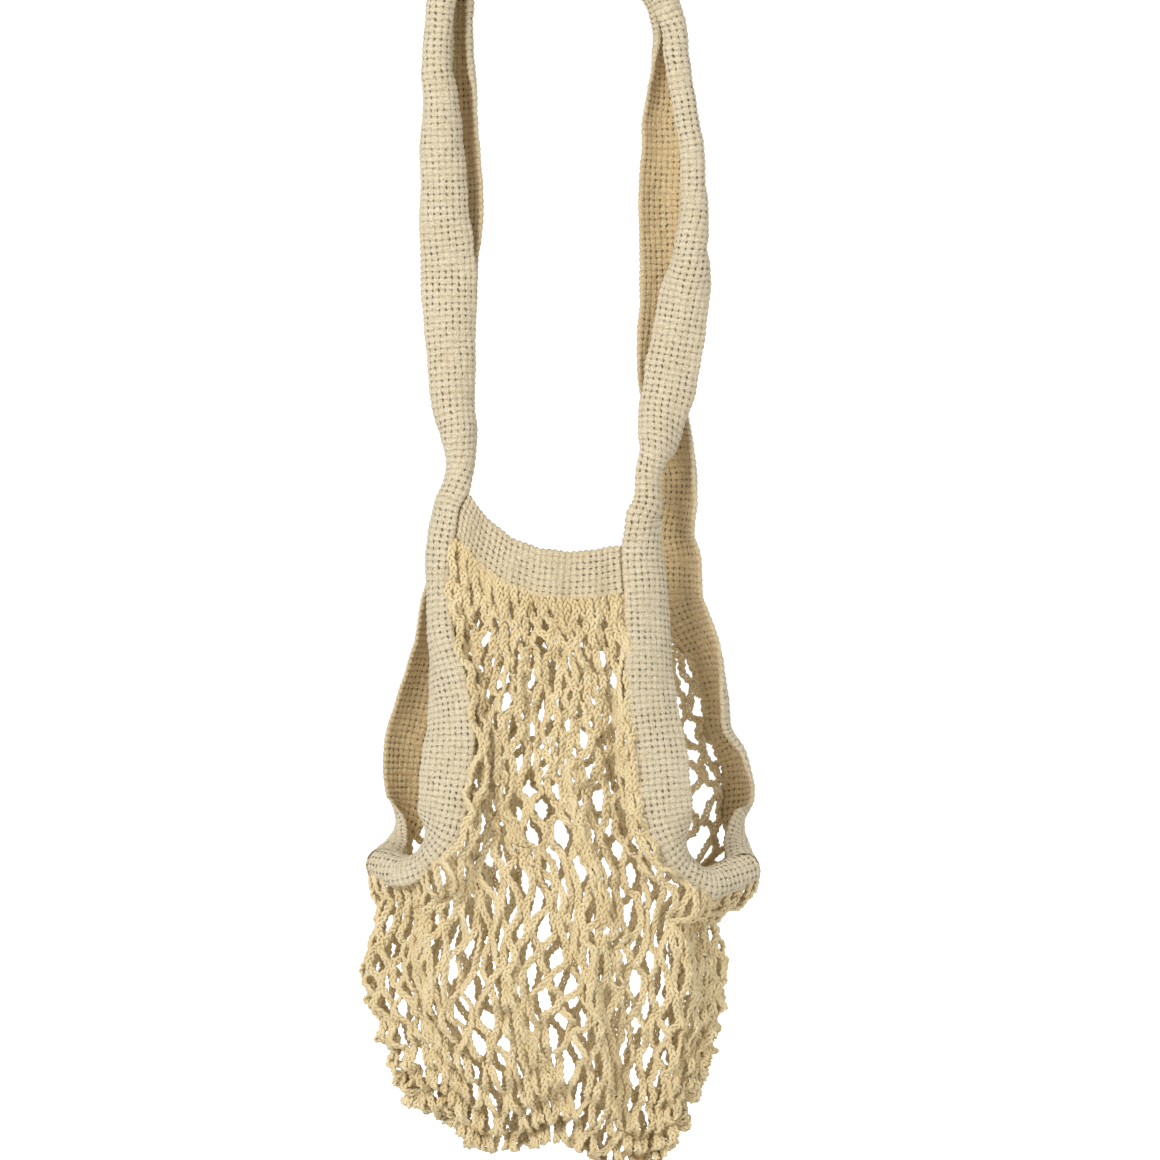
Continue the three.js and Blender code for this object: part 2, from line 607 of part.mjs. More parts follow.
// The net as a surface: around runs 0..RIM_STEPS, down runs 0..NET_ROWS.
class NetSurface {
  constructor(rim) {
    this.rim = rim;
    this.fineRows = NET_ROWS * NET_FINE;
    this.grid = rim.map((_, u) => this.column(u));
    this.foldGrid();
  }

  // Share of the half width for rim step u on the first ring, and evenly spread.
  spread(u) {
    const quarter = RIM_STEPS / 4;
    const name = ["frontRight", "frontLeft", "rearLeft", "rearRight"][Math.floor(u / quarter) % 4];
    const fromFoot = (u < quarter || (u >= 2 * quarter && u < 3 * quarter))
      ? u % quarter : quarter - u % quarter;
    const column = FAN.map((row) => row[name]);
    const t = fromFoot / CELL_SPLIT;
    return { fan: through(column, t), even: 1 - t / (FAN.length - 1) };
  }

  column(u) {
    const half = RIM_STEPS / 2;
    const facing = u > half ? REAR : (u === 0 || u === half ? 0 : FRONT);
    const toRight = u < half / 2 || u > RIM_STEPS - half / 2;
    const { fan, even } = this.spread(u);
    const rim = this.rim[u];
    const lead = rim.point.clone().addScaledVector(rim.way, NET_LEAD);
    lead.z -= NET_LEAD * (1 - Math.abs(rim.way.z));
    const points = [rim.point.clone(), lead];
    const footLevel = -HANDLE_DROP - OPENING_DROP;
    for (const ring of NET_RINGS) {
      const share = mix(fan, Math.sin(even * Math.PI / 2), ring.even);
      const middle = (ring.left + ring.right) / 2;
      const out = mix(middle, toRight ? ring.right : ring.left, share);
      const round = Math.sqrt(Math.max(0, 1 - share ** 2));
      points.push(new THREE.Vector3(out * BODY_WIDTH, facing * ring.deep * BODY_DEPTH * round,
        footLevel - ring.down * NET_DROP));
    }
    const across = toRight ? (1 + even) / 2 : (1 - even) / 2;
    const row = across * (HEM.length - 1);
    const fromCorner = 1 - Math.abs(2 * across - 1);
    points.push(new THREE.Vector3(through(HEM.map((h) => h.out), row) * BODY_WIDTH,
      facing * (HEM_FOLD - NET_WALL) / 2 * smooth(fromCorner * HEM_CORNER_TAPER),
      footLevel - through(HEM.map((h) => h.down), row) * NET_DROP));
    const curve = new THREE.CatmullRomCurve3(points, false, "centripetal");
    return curve.getSpacedPoints(this.fineRows);
  }

  rawNormal(u, v) {
    const n = this.rim.length;
    const around = this.grid[(u + 1) % n][v].clone().sub(this.grid[(u + n - 1) % n][v]);
    const down = this.grid[u][Math.min(v + 1, this.fineRows)].clone()
      .sub(this.grid[u][Math.max(v - 1, 0)]);
    return around.cross(down).normalize();
  }

  // Gathers: the surface waves in and out round the net, more in the middle of its height.
  foldGrid() {
    const normals = this.grid.map((column, u) => column.map((_, v) => this.rawNormal(u, v)));
    this.grid.forEach((column, u) => column.forEach((point, v) => {
      const down = v / this.fineRows;
      const turn = 2 * Math.PI * u / RIM_STEPS;
      const slant = SECOND_FOLD_SLANT * down;
      const wave = Math.cos(FOLD_COUNT * turn)
        + SECOND_FOLD * Math.cos(SECOND_FOLD_COUNT * turn + slant);
      const swell = Math.sin(Math.PI * down) ** FOLD_SWELL;
      point.addScaledVector(normals[u][v], FOLD_DEPTH * swell * wave / (1 + SECOND_FOLD));
    }));
    this.normals = this.grid.map((column, u) => column.map((_, v) => this.rawNormal(u, v)));
    this.rim.forEach((rim, u) => {
      for (let v = 0; v < RIM_ROWS; v++) {
        this.normals[u][v].lerp(rim.normal, 1 - v / RIM_ROWS).normalize();
      }
      const hem = this.normals[u][this.fineRows];
      hem.z = 0;
      hem.normalize().add(new THREE.Vector3(...DOWNWARDS)).normalize();
    });
  }

  blend(grid, around, down) {
    const n = this.rim.length;
    const [u, v] = [((around % n) + n) % n, Math.min(down * NET_FINE, this.fineRows - NEARLY)];
    const [u0, v0] = [Math.floor(u), Math.floor(v)];
    const row = (k) => grid[k % n][v0].clone().lerp(grid[k % n][v0 + 1], v - v0);
    return row(u0).lerp(row(u0 + 1), u - u0);
  }

  point(around, down) {
    return this.blend(this.grid, around, down);
  }

  normal(around, down) {
    return this.blend(this.normals, around, down).normalize();
  }
}

// The net as a wall with a gap in each diamond cell, closed along the bottom fold.
function netGeometry(surface) {
  const positions = [];
  const faces = [];
  const known = new Map();
  const vertex = (around, down, side) => {
    const wrapped = ((around % RIM_STEPS) + RIM_STEPS) % RIM_STEPS;
    const key = `${wrapped.toFixed(4)},${down.toFixed(4)},${side}`;
    if (!known.has(key)) {
      const p = surface.point(wrapped, down)
        .addScaledVector(surface.normal(wrapped, down), side * NET_WALL / 2);
      known.set(key, positions.length / 3);
      positions.push(p.x, p.y, p.z);
    }
    return known.get(key);
  };
  const both = (corners) => {
    const [outer, inner] = [1, -1].map((side) => corners.map(([u, v]) => vertex(u, v, side)));
    return { outer, inner };
  };
  const polygon = (corners) => {
    const { outer, inner } = both(corners);
    for (let n = 1; n + 1 < corners.length; n++) {
      faces.push(outer[0], outer[n], outer[n + 1], inner[0], inner[n + 1], inner[n]);
    }
  };
  const ring = (cell, hole) => {
    const [a, b] = [both(cell), both(hole)];
    cell.forEach((_, n) => {
      const m = (n + 1) % cell.length;
      faces.push(a.outer[n], a.outer[m], b.outer[m], a.outer[n], b.outer[m], b.outer[n]);
      faces.push(a.inner[n], b.inner[m], a.inner[m], a.inner[n], b.inner[n], b.inner[m]);
      faces.push(b.outer[n], b.outer[m], b.inner[m], b.outer[n], b.inner[m], b.inner[n]);
    });
  };
  const s = CELL_SPLIT;
  for (let row = 1; row < NET_ROWS; row++) {
    for (let i = 0; i < HALF_CELLS; i++) {
      if ((i + row) % 2 === 0) continue;
      const [u, v] = [i * s, row];
      const cell = [[u, v - 1], [u - s / 2, v - 0.5], [u - s, v], [u - s / 2, v + 0.5],
        [u, v + 1], [u + s / 2, v + 0.5], [u + s, v], [u + s / 2, v - 0.5]];
      const wide = surface.point(u - s, v).distanceTo(surface.point(u + s, v)) / 2;
      const tall = surface.point(u, v - 1).distanceTo(surface.point(u, v + 1)) / 2;
      const reach = wide * tall / Math.hypot(wide, tall);
      const open = Math.max(LEAST_OPENING, 1 - NET_STRAND / 2 / reach);
      const hole = cell.map(([cu, cv], n) => {
        const share = n % 2 === 0 ? open * CORNER_OPENING : open;
        return [mix(u, cu, share), mix(v, cv, share)];
      });
      ring(cell, hole);
    }
  }
  for (let i = 1; i < HALF_CELLS; i += 2) {
    const u = i * s;
    const rim = [];
    for (let n = -s; n <= s; n++) rim.push([u + n, 0]);
    polygon([[u, 1], [u - s / 2, 0.5], ...rim, [u + s / 2, 0.5]].reverse());
  }
  const hemStart = NET_ROWS % 2 === 0 ? 1 : 0;
  for (let i = hemStart; i < HALF_CELLS; i += 2) {
    const [u, v] = [i * s, NET_ROWS];
    polygon([[u, v - 1], [u - s / 2, v - 0.5], [u - s, v], [u, v], [u + s, v],
      [u + s / 2, v - 0.5]]);
  }
  for (let u = 0; u < RIM_STEPS; u++) {
    const { outer, inner } = both([[u, 0], [u + 1, 0]]);
    faces.push(outer[0], outer[1], inner[1], outer[0], inner[1], inner[0]);
  }
  const half = HALF_CELLS / 2;
  for (let i = 0; i < half; i++) {
    const strip = [[i, 1], [i + 1, 1], [HALF_CELLS - i - 1, 1], [HALF_CELLS - i, 1]]
      .map(([k]) => [k * s, NET_ROWS]);
    const { outer, inner } = both(strip);
    const close = (a, b, c, d, flip) => {
      const add = (p, q, r) => {
        if (p !== q && q !== r && p !== r) faces.push(...(flip ? [p, r, q] : [p, q, r]));
      };
      add(a, b, c);
      add(a, c, d);
    };
    close(...outer, true);
    close(...inner, false);
  }
  return closedGeometry(positions, faces);
}

function piece(name, geometry, finish) {
  const mesh = new THREE.Mesh(geometry, new THREE.MeshStandardMaterial(finish));
  mesh.name = name;
  return mesh;
}

function tapePiece(name, { tape, seams }) {
  const stations = seams.places.map((t) => tape.station(t));
  return piece(name, sheetSolid(stations, TAPE_THICKNESS), TAPE_MATERIAL);
}

// The front tape climbs on the right and falls on the left; the rear tape the other way.
const frontTape = new Tape(
  quarterRows(FRONT_RIGHT_STRAP, FRONT_RIGHT_SIDE, { facing: FRONT }),
  quarterRows(FRONT_LEFT_STRAP, FRONT_LEFT_SIDE, { facing: FRONT }),
);
const rearTape = new Tape(
  quarterRows(REAR_LEFT_STRAP, REAR_LEFT_SIDE, { facing: REAR }),
  quarterRows(REAR_RIGHT_STRAP, REAR_RIGHT_SIDE, { facing: REAR }),
);
const front = {
  tape: frontTape,
  seams: frontTape.seams(BAND_CORNERS.frontRight, BAND_CORNERS.frontLeft),
};
const rear = {
  tape: rearTape,
  seams: rearTape.seams(BAND_CORNERS.rearLeft, BAND_CORNERS.rearRight),
};

const stationsAt = (tape, places) => places.map((t) => tape.station(t));
const frontBand = bandRows(FRONT_BAND, stationsAt(frontTape, front.seams.fall.band),
  stationsAt(frontTape, front.seams.climb.band), FRONT);
const rearBand = bandRows(REAR_BAND, stationsAt(rearTape, rear.seams.climb.band),
  stationsAt(rearTape, rear.seams.fall.band), REAR);
const net = new NetSurface(netRim(front, rear, frontBand, rearBand));

const bag = new THREE.Group();
bag.add(
  tapePiece("front_tape", front),
  tapePiece("rear_tape", rear),
  piece("front_top_band", sheetSolid(frontBand, TOP_BAND_THICKNESS), BAND_MATERIAL),
  piece("rear_top_band", sheetSolid(rearBand, TOP_BAND_THICKNESS), BAND_MATERIAL),
  piece("net_body", netGeometry(net), NET_MATERIAL),
);

export default bag;
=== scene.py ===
# %% [markdown]
# # A knitted string shopping bag, hung up by its two handles
# The bag has two long knitted tapes, two knitted bands across its mouth and a net of knitted
# cords. Every piece is a surface or a cord worked out with numpy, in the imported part's own
# frame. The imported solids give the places: here each of them gets its stitches and strands.

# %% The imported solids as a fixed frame
import bpy
import numpy as np
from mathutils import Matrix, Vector


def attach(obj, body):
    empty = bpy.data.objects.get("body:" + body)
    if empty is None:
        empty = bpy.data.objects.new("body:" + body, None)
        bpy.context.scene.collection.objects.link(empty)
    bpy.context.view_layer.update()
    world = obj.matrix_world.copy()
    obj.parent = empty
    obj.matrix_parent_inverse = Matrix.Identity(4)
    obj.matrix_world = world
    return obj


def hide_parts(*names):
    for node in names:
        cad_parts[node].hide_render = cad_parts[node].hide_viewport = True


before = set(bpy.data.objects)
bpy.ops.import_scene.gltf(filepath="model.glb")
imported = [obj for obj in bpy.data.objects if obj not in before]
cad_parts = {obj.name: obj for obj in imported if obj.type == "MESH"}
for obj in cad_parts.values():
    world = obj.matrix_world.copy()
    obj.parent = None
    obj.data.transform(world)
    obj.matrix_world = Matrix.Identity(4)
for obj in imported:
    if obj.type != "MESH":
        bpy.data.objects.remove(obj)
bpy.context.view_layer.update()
print("solids:", sorted(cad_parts))

# %% [markdown]
# ## Camera
# The bag is seen level from the front. A long lens far away keeps it nearly free of
# perspective, as a thing this flat asks for. The square frame is 487 mm wide where the bag
# hangs, so the top of the handles and the lowest loops are just outside.

# %% Camera
FRAME_WIDTH = 0.4872
FRAME_CENTRE = (0.0126, -0.2596)
CAMERA_DISTANCE = 3.0


def add_object(name, data):
    """Object of a camera, mesh or light, in the scene."""
    added = bpy.data.objects.new(name, data)
    bpy.context.scene.collection.objects.link(added)
    return added


lens = bpy.data.cameras.new("camera")
lens.lens = lens.sensor_width * CAMERA_DISTANCE / FRAME_WIDTH
camera = add_object("camera", lens)
camera.location = (FRAME_CENTRE[0], -CAMERA_DISTANCE, FRAME_CENTRE[1])
camera.rotation_euler = (np.pi / 2, 0, 0)
bpy.context.scene.camera = camera
bpy.context.scene.view_settings.view_transform = "Standard"
print(f"lens {lens.lens:.0f} mm")

# %% [markdown]
# ## Sizes and tables
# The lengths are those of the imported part, in millimetres. A tape's way could be drawn by hand as
# a Bezier curve. Here each table gives sections along a tape, in shares of the named sizes, so
# the way can be read and changed row by row. A smooth curve runs through the rows.

# %% Sizes
MM = 0.001
HANDLE_DROP, OPENING_DROP, NET_DROP = 222, 170, 115
BODY_WIDTH, BODY_DEPTH, GRIP_SPAN = 164, 70, 94
TAPE_WIDTH, TAPE_THICKNESS, TAPE_FACETS = 24, 2.2, 6
BAND_HEIGHT, BAND_THICKNESS = 20.5, 2.2
NET_WALL, NET_LEAD, HEM_FOLD = 3, 8, 9
SEAM_GAP, STRAP_GAP = 0.35, 2
BAND_RIPPLE, BAND_RIPPLES = 0.9, 4
SIDE_STEPS, BAND_STEPS = 18, 24
RIM_STEPS = 4 * SIDE_STEPS + 2 * BAND_STEPS
FRONT, REAR = -1, 1
print(f"{HANDLE_DROP + OPENING_DROP + NET_DROP} mm from the hanging point to the bottom fold")

# %% Strap sections: down, out, show, bias
FRONT_LEFT_STRAP = [
    (-0.025, -0.170, 0.40, 0.0), (-0.010, -0.340, 0.40, 0.0), (0.025, -0.445, 0.40, 0.0),
    (0.070, -0.460, 0.40, 0.0), (0.185, -0.440, 0.40, 0.0), (0.240, -0.415, 0.52, 0.0),
    (0.300, -0.395, 0.61, 0.0), (0.410, -0.365, 0.79, 0.0), (0.490, -0.345, 0.87, 0.0),
    (0.580, -0.315, 0.96, 0.0), (0.640, -0.305, 0.94, 0.0), (0.735, -0.285, 0.82, 0.0),
    (0.830, -0.265, 0.70, 0.0), (0.885, -0.247, 0.55, 0.1), (0.945, -0.235, 0.40, 0.3)]
REAR_LEFT_STRAP = [
    (-0.025, -0.155, 0.40, 0.0), (-0.005, -0.295, 0.40, 0.0), (0.030, -0.375, 0.40, 0.0),
    (0.070, -0.380, 0.40, 0.0), (0.185, -0.355, 0.40, 0.0), (0.240, -0.340, 0.46, 0.0),
    (0.300, -0.325, 0.52, 0.0), (0.410, -0.305, 0.70, 0.0), (0.490, -0.295, 0.80, 0.0),
    (0.560, -0.300, 0.84, 0.0), (0.640, -0.290, 0.76, 0.0), (0.735, -0.280, 0.66, 0.0),
    (0.830, -0.260, 0.56, 0.0), (0.885, -0.240, 0.46, 0.0), (0.945, -0.235, 0.40, 0.2)]
FRONT_RIGHT_STRAP = [
    (-0.015, 0.180, 0.40, 0.0), (0.015, 0.355, 0.40, 0.0), (0.055, 0.465, 0.40, 0.1),
    (0.095, 0.495, 0.38, 0.2), (0.130, 0.505, 0.36, 0.4), (0.195, 0.495, 0.35, 0.5),
    (0.315, 0.495, 0.35, 0.5), (0.365, 0.495, 0.35, 0.5), (0.450, 0.478, 0.40, 0.4),
    (0.540, 0.445, 0.52, 0.2), (0.585, 0.430, 0.66, 0.1), (0.640, 0.405, 0.85, 0.0),
    (0.730, 0.365, 0.93, 0.0), (0.830, 0.320, 0.88, 0.0), (0.885, 0.295, 0.72, 0.2),
    (0.925, 0.275, 0.52, 0.4), (0.965, 0.252, 0.42, 0.6)]
REAR_RIGHT_STRAP = [
    (-0.015, 0.170, 0.40, 0.0), (0.015, 0.330, 0.40, 0.0), (0.055, 0.440, 0.40, 0.0),
    (0.095, 0.475, 0.40, 0.0), (0.140, 0.478, 0.40, 0.0), (0.205, 0.455, 0.50, 0.0),
    (0.255, 0.440, 0.70, 0.0), (0.300, 0.420, 0.80, 0.0), (0.355, 0.410, 0.88, 0.0),
    (0.450, 0.380, 0.88, 0.0), (0.540, 0.367, 0.88, 0.0), (0.640, 0.350, 0.88, 0.0),
    (0.745, 0.320, 0.88, 0.0), (0.830, 0.315, 0.77, 0.0), (0.885, 0.320, 0.70, 0.2),
    (0.960, 0.330, 0.60, 0.4)]

# %% Side opening sections: down, out, deep, show, bias, turn
FRONT_LEFT_SIDE = [
    (-0.010, -0.240, 0.20, 0.44, 0.6, 0), (0.040, -0.260, 0.22, 0.44, 0.8, 0),
    (0.100, -0.272, 0.23, 0.44, 0.8, 0), (0.160, -0.278, 0.24, 0.43, 0.8, 0),
    (0.250, -0.280, 0.26, 0.40, 0.8, 0), (0.350, -0.275, 0.30, 0.42, 0.8, 0),
    (0.420, -0.262, 0.33, 0.55, 0.9, 0), (0.525, -0.250, 0.38, 0.72, 1.0, 0),
    (0.630, -0.255, 0.44, 0.90, 1.0, 0), (0.740, -0.268, 0.47, 0.90, 1.0, 0),
    (0.815, -0.280, 0.46, 0.88, 1.0, 5), (0.870, -0.303, 0.42, 0.76, 1.0, 20),
    (0.918, -0.345, 0.34, 0.60, 0.8, 42), (0.940, -0.400, 0.21, 0.48, 0.6, 65),
    (0.925, -0.462, 0.00, 0.48, 0.4, 90)]
REAR_LEFT_SIDE = [
    (-0.010, -0.240, 0.20, 0.40, 0.3, 0), (0.040, -0.250, 0.21, 0.42, 0.4, 0),
    (0.120, -0.260, 0.22, 0.52, 0.5, 0), (0.205, -0.260, 0.24, 0.63, 0.5, 0),
    (0.280, -0.275, 0.27, 0.72, 0.6, 0), (0.370, -0.290, 0.30, 0.76, 0.7, 0),
    (0.455, -0.315, 0.34, 0.80, 0.8, 0), (0.560, -0.345, 0.39, 0.86, 1.0, 0),
    (0.640, -0.365, 0.42, 0.86, 1.0, 0), (0.720, -0.373, 0.43, 0.84, 1.0, 5),
    (0.790, -0.378, 0.42, 0.80, 1.0, 15), (0.850, -0.400, 0.36, 0.74, 1.0, 35),
    (0.900, -0.436, 0.22, 0.58, 0.7, 60), (0.925, -0.462, 0.00, 0.48, 0.4, 90)]
FRONT_RIGHT_SIDE = [
    (0.025, 0.245, 0.21, 0.44, 0.7, 0), (0.065, 0.237, 0.22, 0.56, 0.8, 0),
    (0.110, 0.235, 0.23, 0.66, 0.8, 0), (0.170, 0.236, 0.24, 0.73, 0.8, 0),
    (0.270, 0.245, 0.27, 0.76, 0.9, 0), (0.370, 0.250, 0.31, 0.77, 0.9, 0),
    (0.495, 0.257, 0.36, 0.84, 1.0, 0), (0.600, 0.273, 0.40, 0.89, 1.0, 0),
    (0.705, 0.286, 0.44, 0.94, 1.0, 0), (0.810, 0.300, 0.46, 0.94, 1.0, 5),
    (0.885, 0.325, 0.43, 0.80, 1.0, 18), (0.940, 0.365, 0.36, 0.66, 0.8, 36),
    (0.970, 0.430, 0.26, 0.48, 0.6, 58), (0.935, 0.533, 0.00, 0.50, 0.4, 90)]
REAR_RIGHT_SIDE = [
    (0.025, 0.325, 0.21, 0.63, 0.5, 0), (0.110, 0.315, 0.22, 0.70, 0.5, 0),
    (0.170, 0.328, 0.24, 0.77, 0.6, 0), (0.270, 0.332, 0.27, 0.77, 0.8, 0),
    (0.350, 0.368, 0.30, 0.72, 1.0, 0), (0.405, 0.395, 0.32, 0.56, 1.1, 0),
    (0.455, 0.410, 0.34, 0.44, 1.2, 0), (0.515, 0.423, 0.36, 0.38, 1.2, 0),
    (0.595, 0.433, 0.39, 0.38, 1.2, 0), (0.665, 0.473, 0.41, 0.44, 1.1, 0),
    (0.755, 0.490, 0.42, 0.58, 1.0, 8), (0.835, 0.495, 0.37, 0.72, 1.0, 30),
    (0.900, 0.518, 0.21, 0.60, 0.7, 60), (0.935, 0.533, 0.00, 0.50, 0.4, 90)]
print(f"{len(FRONT_LEFT_STRAP)} rows in the first strap, {len(FRONT_LEFT_SIDE)} in the first side")

# %% Smooth curve through rows of numbers
TINY = 1e-12


def through(values, t):
    """Catmull-Rom curve: whole t hits row t. Between rows b and c, with neighbours a and d and
    the share f, it is (2b + (c-a)f + (2a-5b+4c-d)f^2 + (3b-a-3c+d)f^3) / 2."""
    values, t = np.asarray(values, float), np.asarray(t, float)
    last = len(values) - 1
    i = np.clip(np.floor(t).astype(int), 0, last - 1)
    a, b, c, d = (values[np.clip(i + k, 0, last)] for k in (-1, 0, 1, 2))
    f = (t - i).reshape(t.shape + (1,) * (b.ndim - t.ndim))
    return (2 * b + (c - a) * f + (2 * a - 5 * b + 4 * c - d) * f**2
            + (3 * b - a - 3 * c + d) * f**3) / 2


def mix(a, b, share):
    """a at share 0, b at share 1."""
    return a + (b - a) * share


def smooth(x):
    """0 up to 0, 1 from 1 on, 3x^2 - 2x^3 between."""
    x = np.clip(x, 0, 1)
    return x * x * (3 - 2 * x)


def unit(v):
    """Vectors at length 1."""
    return v / np.maximum(np.linalg.norm(v, axis=-1, keepdims=True), TINY)


print("half way between the rows 0, 1 and 4:", through([0, 1, 4], np.array([0.5, 1.5])))

# %% [markdown]
# ## The tape's section
# A knitted tape rolls back at its edges. Its section is an arc that keeps the cloth's width:
# the more it rolls, the less of it is seen from the front. A cloth simulation would roll it too,
# but not where the photo shows it. The curl is found by halving, because the seen width has no
# simple inverse.

# %% Arc section of a tape
LEAST_CURL, MOST_CURL, HALVINGS = 0.02, np.radians(300), 40


def seen_width(curl, bias):
    """Share of the cloth that shows: the span of the sines from -(1+bias)c/2 to (1-bias)c/2,
    divided by the curl c."""
    low, high = -(1 + bias) * curl / 2, (1 - bias) * curl / 2
    top = np.where(high > np.pi / 2, 1, np.maximum(np.sin(low), np.sin(high)))
    bottom = np.where(low < -np.pi / 2, -1, np.minimum(np.sin(low), np.sin(high)))
    return (top - bottom) / curl, (top + bottom) / 2


def curl_for(show, bias):
    """The curl, in radians, that shows a wanted share of the cloth."""
    least, most = np.full(np.shape(show), LEAST_CURL), np.full(np.shape(show), MOST_CURL)
    for _ in range(HALVINGS):
        middle = (least + most) / 2
        wide = seen_width(middle, bias)[0] > show
        least, most = np.where(wide, middle, least), np.where(wide, most, middle)
    return (least + most) / 2


def tape_section(show, bias, s):
    """Across and out, in mm, and the angle, of the cloth's point s (0 to 1) on the arc of
    radius width / curl, centred on what is seen."""
    curl = curl_for(show, bias)
    radius = TAPE_WIDTH / curl
    low, high = -(1 + bias) * curl / 2, (1 - bias) * curl / 2
    angle = low + curl * s
    middle = seen_width(curl, bias)[1]
    front = np.where((low < 0) & (high > 0), 1, np.maximum(np.cos(low), np.cos(high)))
    return radius * (np.sin(angle) - middle), radius * (np.cos(angle) - front), angle


def clearance(show, bias):
    """How far a strap's face stands off the middle plane: its depth and half the gap."""
    s = np.linspace(0, 1, TAPE_FACETS + 1)
    return -tape_section(show, bias, s)[1].min() + (TAPE_THICKNESS + STRAP_GAP) / 2


print(f"a tape that shows 0.4 of itself curls {np.degrees(curl_for(0.4, 0.0)):.0f} degrees")

# %% [markdown]
# ## The path of a tape
# Each tape is one piece of cloth from foot to foot: up one side opening, over the hanging
# point and down the other. A bevelled curve would carry it as a stiff strip of one width, so the
# surface is worked out: its rows hold the middle, how much shows, the roll and the way it faces.

# %% Tape rows from the tables
def quarter_rows(strap, side, facing):
    """Rows x, y, z, show, bias, face x, face y of one quarter, from the top to the foot."""
    rows = []
    for down, out, show, bias in strap:
        x = out * mix(GRIP_SPAN, BODY_WIDTH, np.clip(down, 0, 1))
        rows.append((x, facing * clearance(show, bias), -down * HANDLE_DROP, show, bias, 0, facing))
    for down, out, deep, show, bias, turn in side:
        y = max(deep * BODY_DEPTH, 0 if turn > 0 else clearance(show, bias))
        rows.append((out * BODY_WIDTH, facing * y, -HANDLE_DROP - down * OPENING_DROP, show, bias,
                     np.sign(out) * np.sin(np.radians(turn)), facing * np.cos(np.radians(turn))))
    return np.array(rows)


def tape_rows(climbing, falling, facing):
    """Both quarters joined over the hanging point, and the row number of that point."""
    show = mix(climbing[0][3], falling[0][3], 0.5)
    apex = (0, mix(climbing[0][1], falling[0][1], 0.5), show * TAPE_WIDTH / 2 + TAPE_THICKNESS / 2,
            show, 0, 0, facing)
    return np.vstack([climbing[::-1], apex, falling]), len(climbing)


front_tape = tape_rows(quarter_rows(FRONT_RIGHT_STRAP, FRONT_RIGHT_SIDE, FRONT),
                       quarter_rows(FRONT_LEFT_STRAP, FRONT_LEFT_SIDE, FRONT), FRONT)
rear_tape = tape_rows(quarter_rows(REAR_LEFT_STRAP, REAR_LEFT_SIDE, REAR),
                      quarter_rows(REAR_RIGHT_STRAP, REAR_RIGHT_SIDE, REAR), REAR)
print(f"{len(front_tape[0])} and {len(rear_tape[0])} rows from foot to foot")

# %% Points and directions on a tape
PATH_STEP, PATH_SAMPLES = 0.02, 3000
NEARLY = 1e-6


def tape_frame(tape, t):
    """Middle, across, face, show and bias at t. Along is the path's difference over a small
    step, straight through the middle plane at both feet; across is face x along."""
    rows, apex = tape
    facing, last = rows[apex, 6], len(rows) - 1
    value = through(rows, t)
    centre, face = value[..., :3].copy(), value[..., 5:7]
    along = (through(rows[:, :3], np.minimum(t + PATH_STEP, last))
             - through(rows[:, :3], np.maximum(t - PATH_STEP, 0)))
    start, end = t < NEARLY, t > last - NEARLY
    along[start], along[end] = (0, facing, 0), (0, -facing, 0)
    centre[start | end, 1] = facing * SEAM_GAP / 2
    along = unit(along)
    face = np.concatenate([face, np.zeros(t.shape + (1,))], axis=-1)
    face = unit(face - along * (face * along).sum(-1, keepdims=True))
    return centre, np.cross(face, along), face, value[..., 3], value[..., 4]


def tape_surface(tape, t, s):
    """Grid of points and normals: middle + across * a(s) + face * o(s) on the arc section."""
    centre, across, face, show, bias = tape_frame(tape, t)
    a, o, angle = tape_section(show[:, None], bias[:, None], np.asarray(s)[None, :])
    across, face = across[:, None], face[:, None]
    points = centre[:, None] + across * a[..., None] + face * o[..., None]
    normals = across * np.sin(angle)[..., None] + face * np.cos(angle)[..., None]
    edge_way = across * np.cos(angle)[..., None] - face * np.sin(angle)[..., None]
    return points, normals, edge_way


def running_length(points):
    """Length of the polyline up to each of its points."""
    return np.concatenate([[0], np.cumsum(np.linalg.norm(np.diff(points, axis=0), axis=1))])


def even_steps(tape, count):
    """t at equal steps along the tape's middle, by the running length of a fine polyline."""
    t = np.linspace(0, len(tape[0]) - 1, PATH_SAMPLES)
    run = running_length(tape_frame(tape, t)[0])
    return np.interp(np.linspace(0, run[-1], count), run, t), run[-1]


print(f"tapes {even_steps(front_tape, 2)[1]:.0f} and {even_steps(rear_tape, 2)[1]:.0f} mm long")

# %% [markdown]
# ## Knitted cloth as relief
# The tape is knitted with small eyelets in rows and columns 2.7 mm apart. Between them run
# upright chains and cross bars. Bump alone would leave the tape's outline smooth, so the relief
# is a height on the cloth's own stitch numbers, four mesh faces to a stitch. The shader paints
# shade into the eyelets and adds the yarn.

# %% Stitch relief
STITCH = 2.7
TAPE_STITCHES, BAND_STITCHES = 9, 8
FACES_PER_STITCH = 4
RELIEF, ROUNDNESS = 0.75, 1.2
EDGE_SQUARENESS = 10
SWELL, SWELL_LENGTH = 0.5, 30
UNEVEN, UNEVEN_LENGTH = 0.16, 9
SELVEDGE = 0.86
LOOP_OUT, LOOP_IN, LOOP_UNEVEN, LOOP_LENGTH, LOOP_SHIFT = 0.75, 0.3, 0.35, 14, 0.3
random = np.random.default_rng(7)


def waves(x, y, length, count=10):
    """Smooth uneven field of about -1 to 1: a sum of sine waves in random directions, each
    with a wavelength near the given one."""
    total = 0
    for _ in range(count):
        turn, start = random.uniform(0, 2 * np.pi, 2)
        k = 2 * np.pi / (length * random.uniform(0.7, 1.5))
        total = total + np.sin(k * (np.cos(turn) * x + np.sin(turn) * y) + start)
    return total / np.sqrt(count / 2) / 1.6


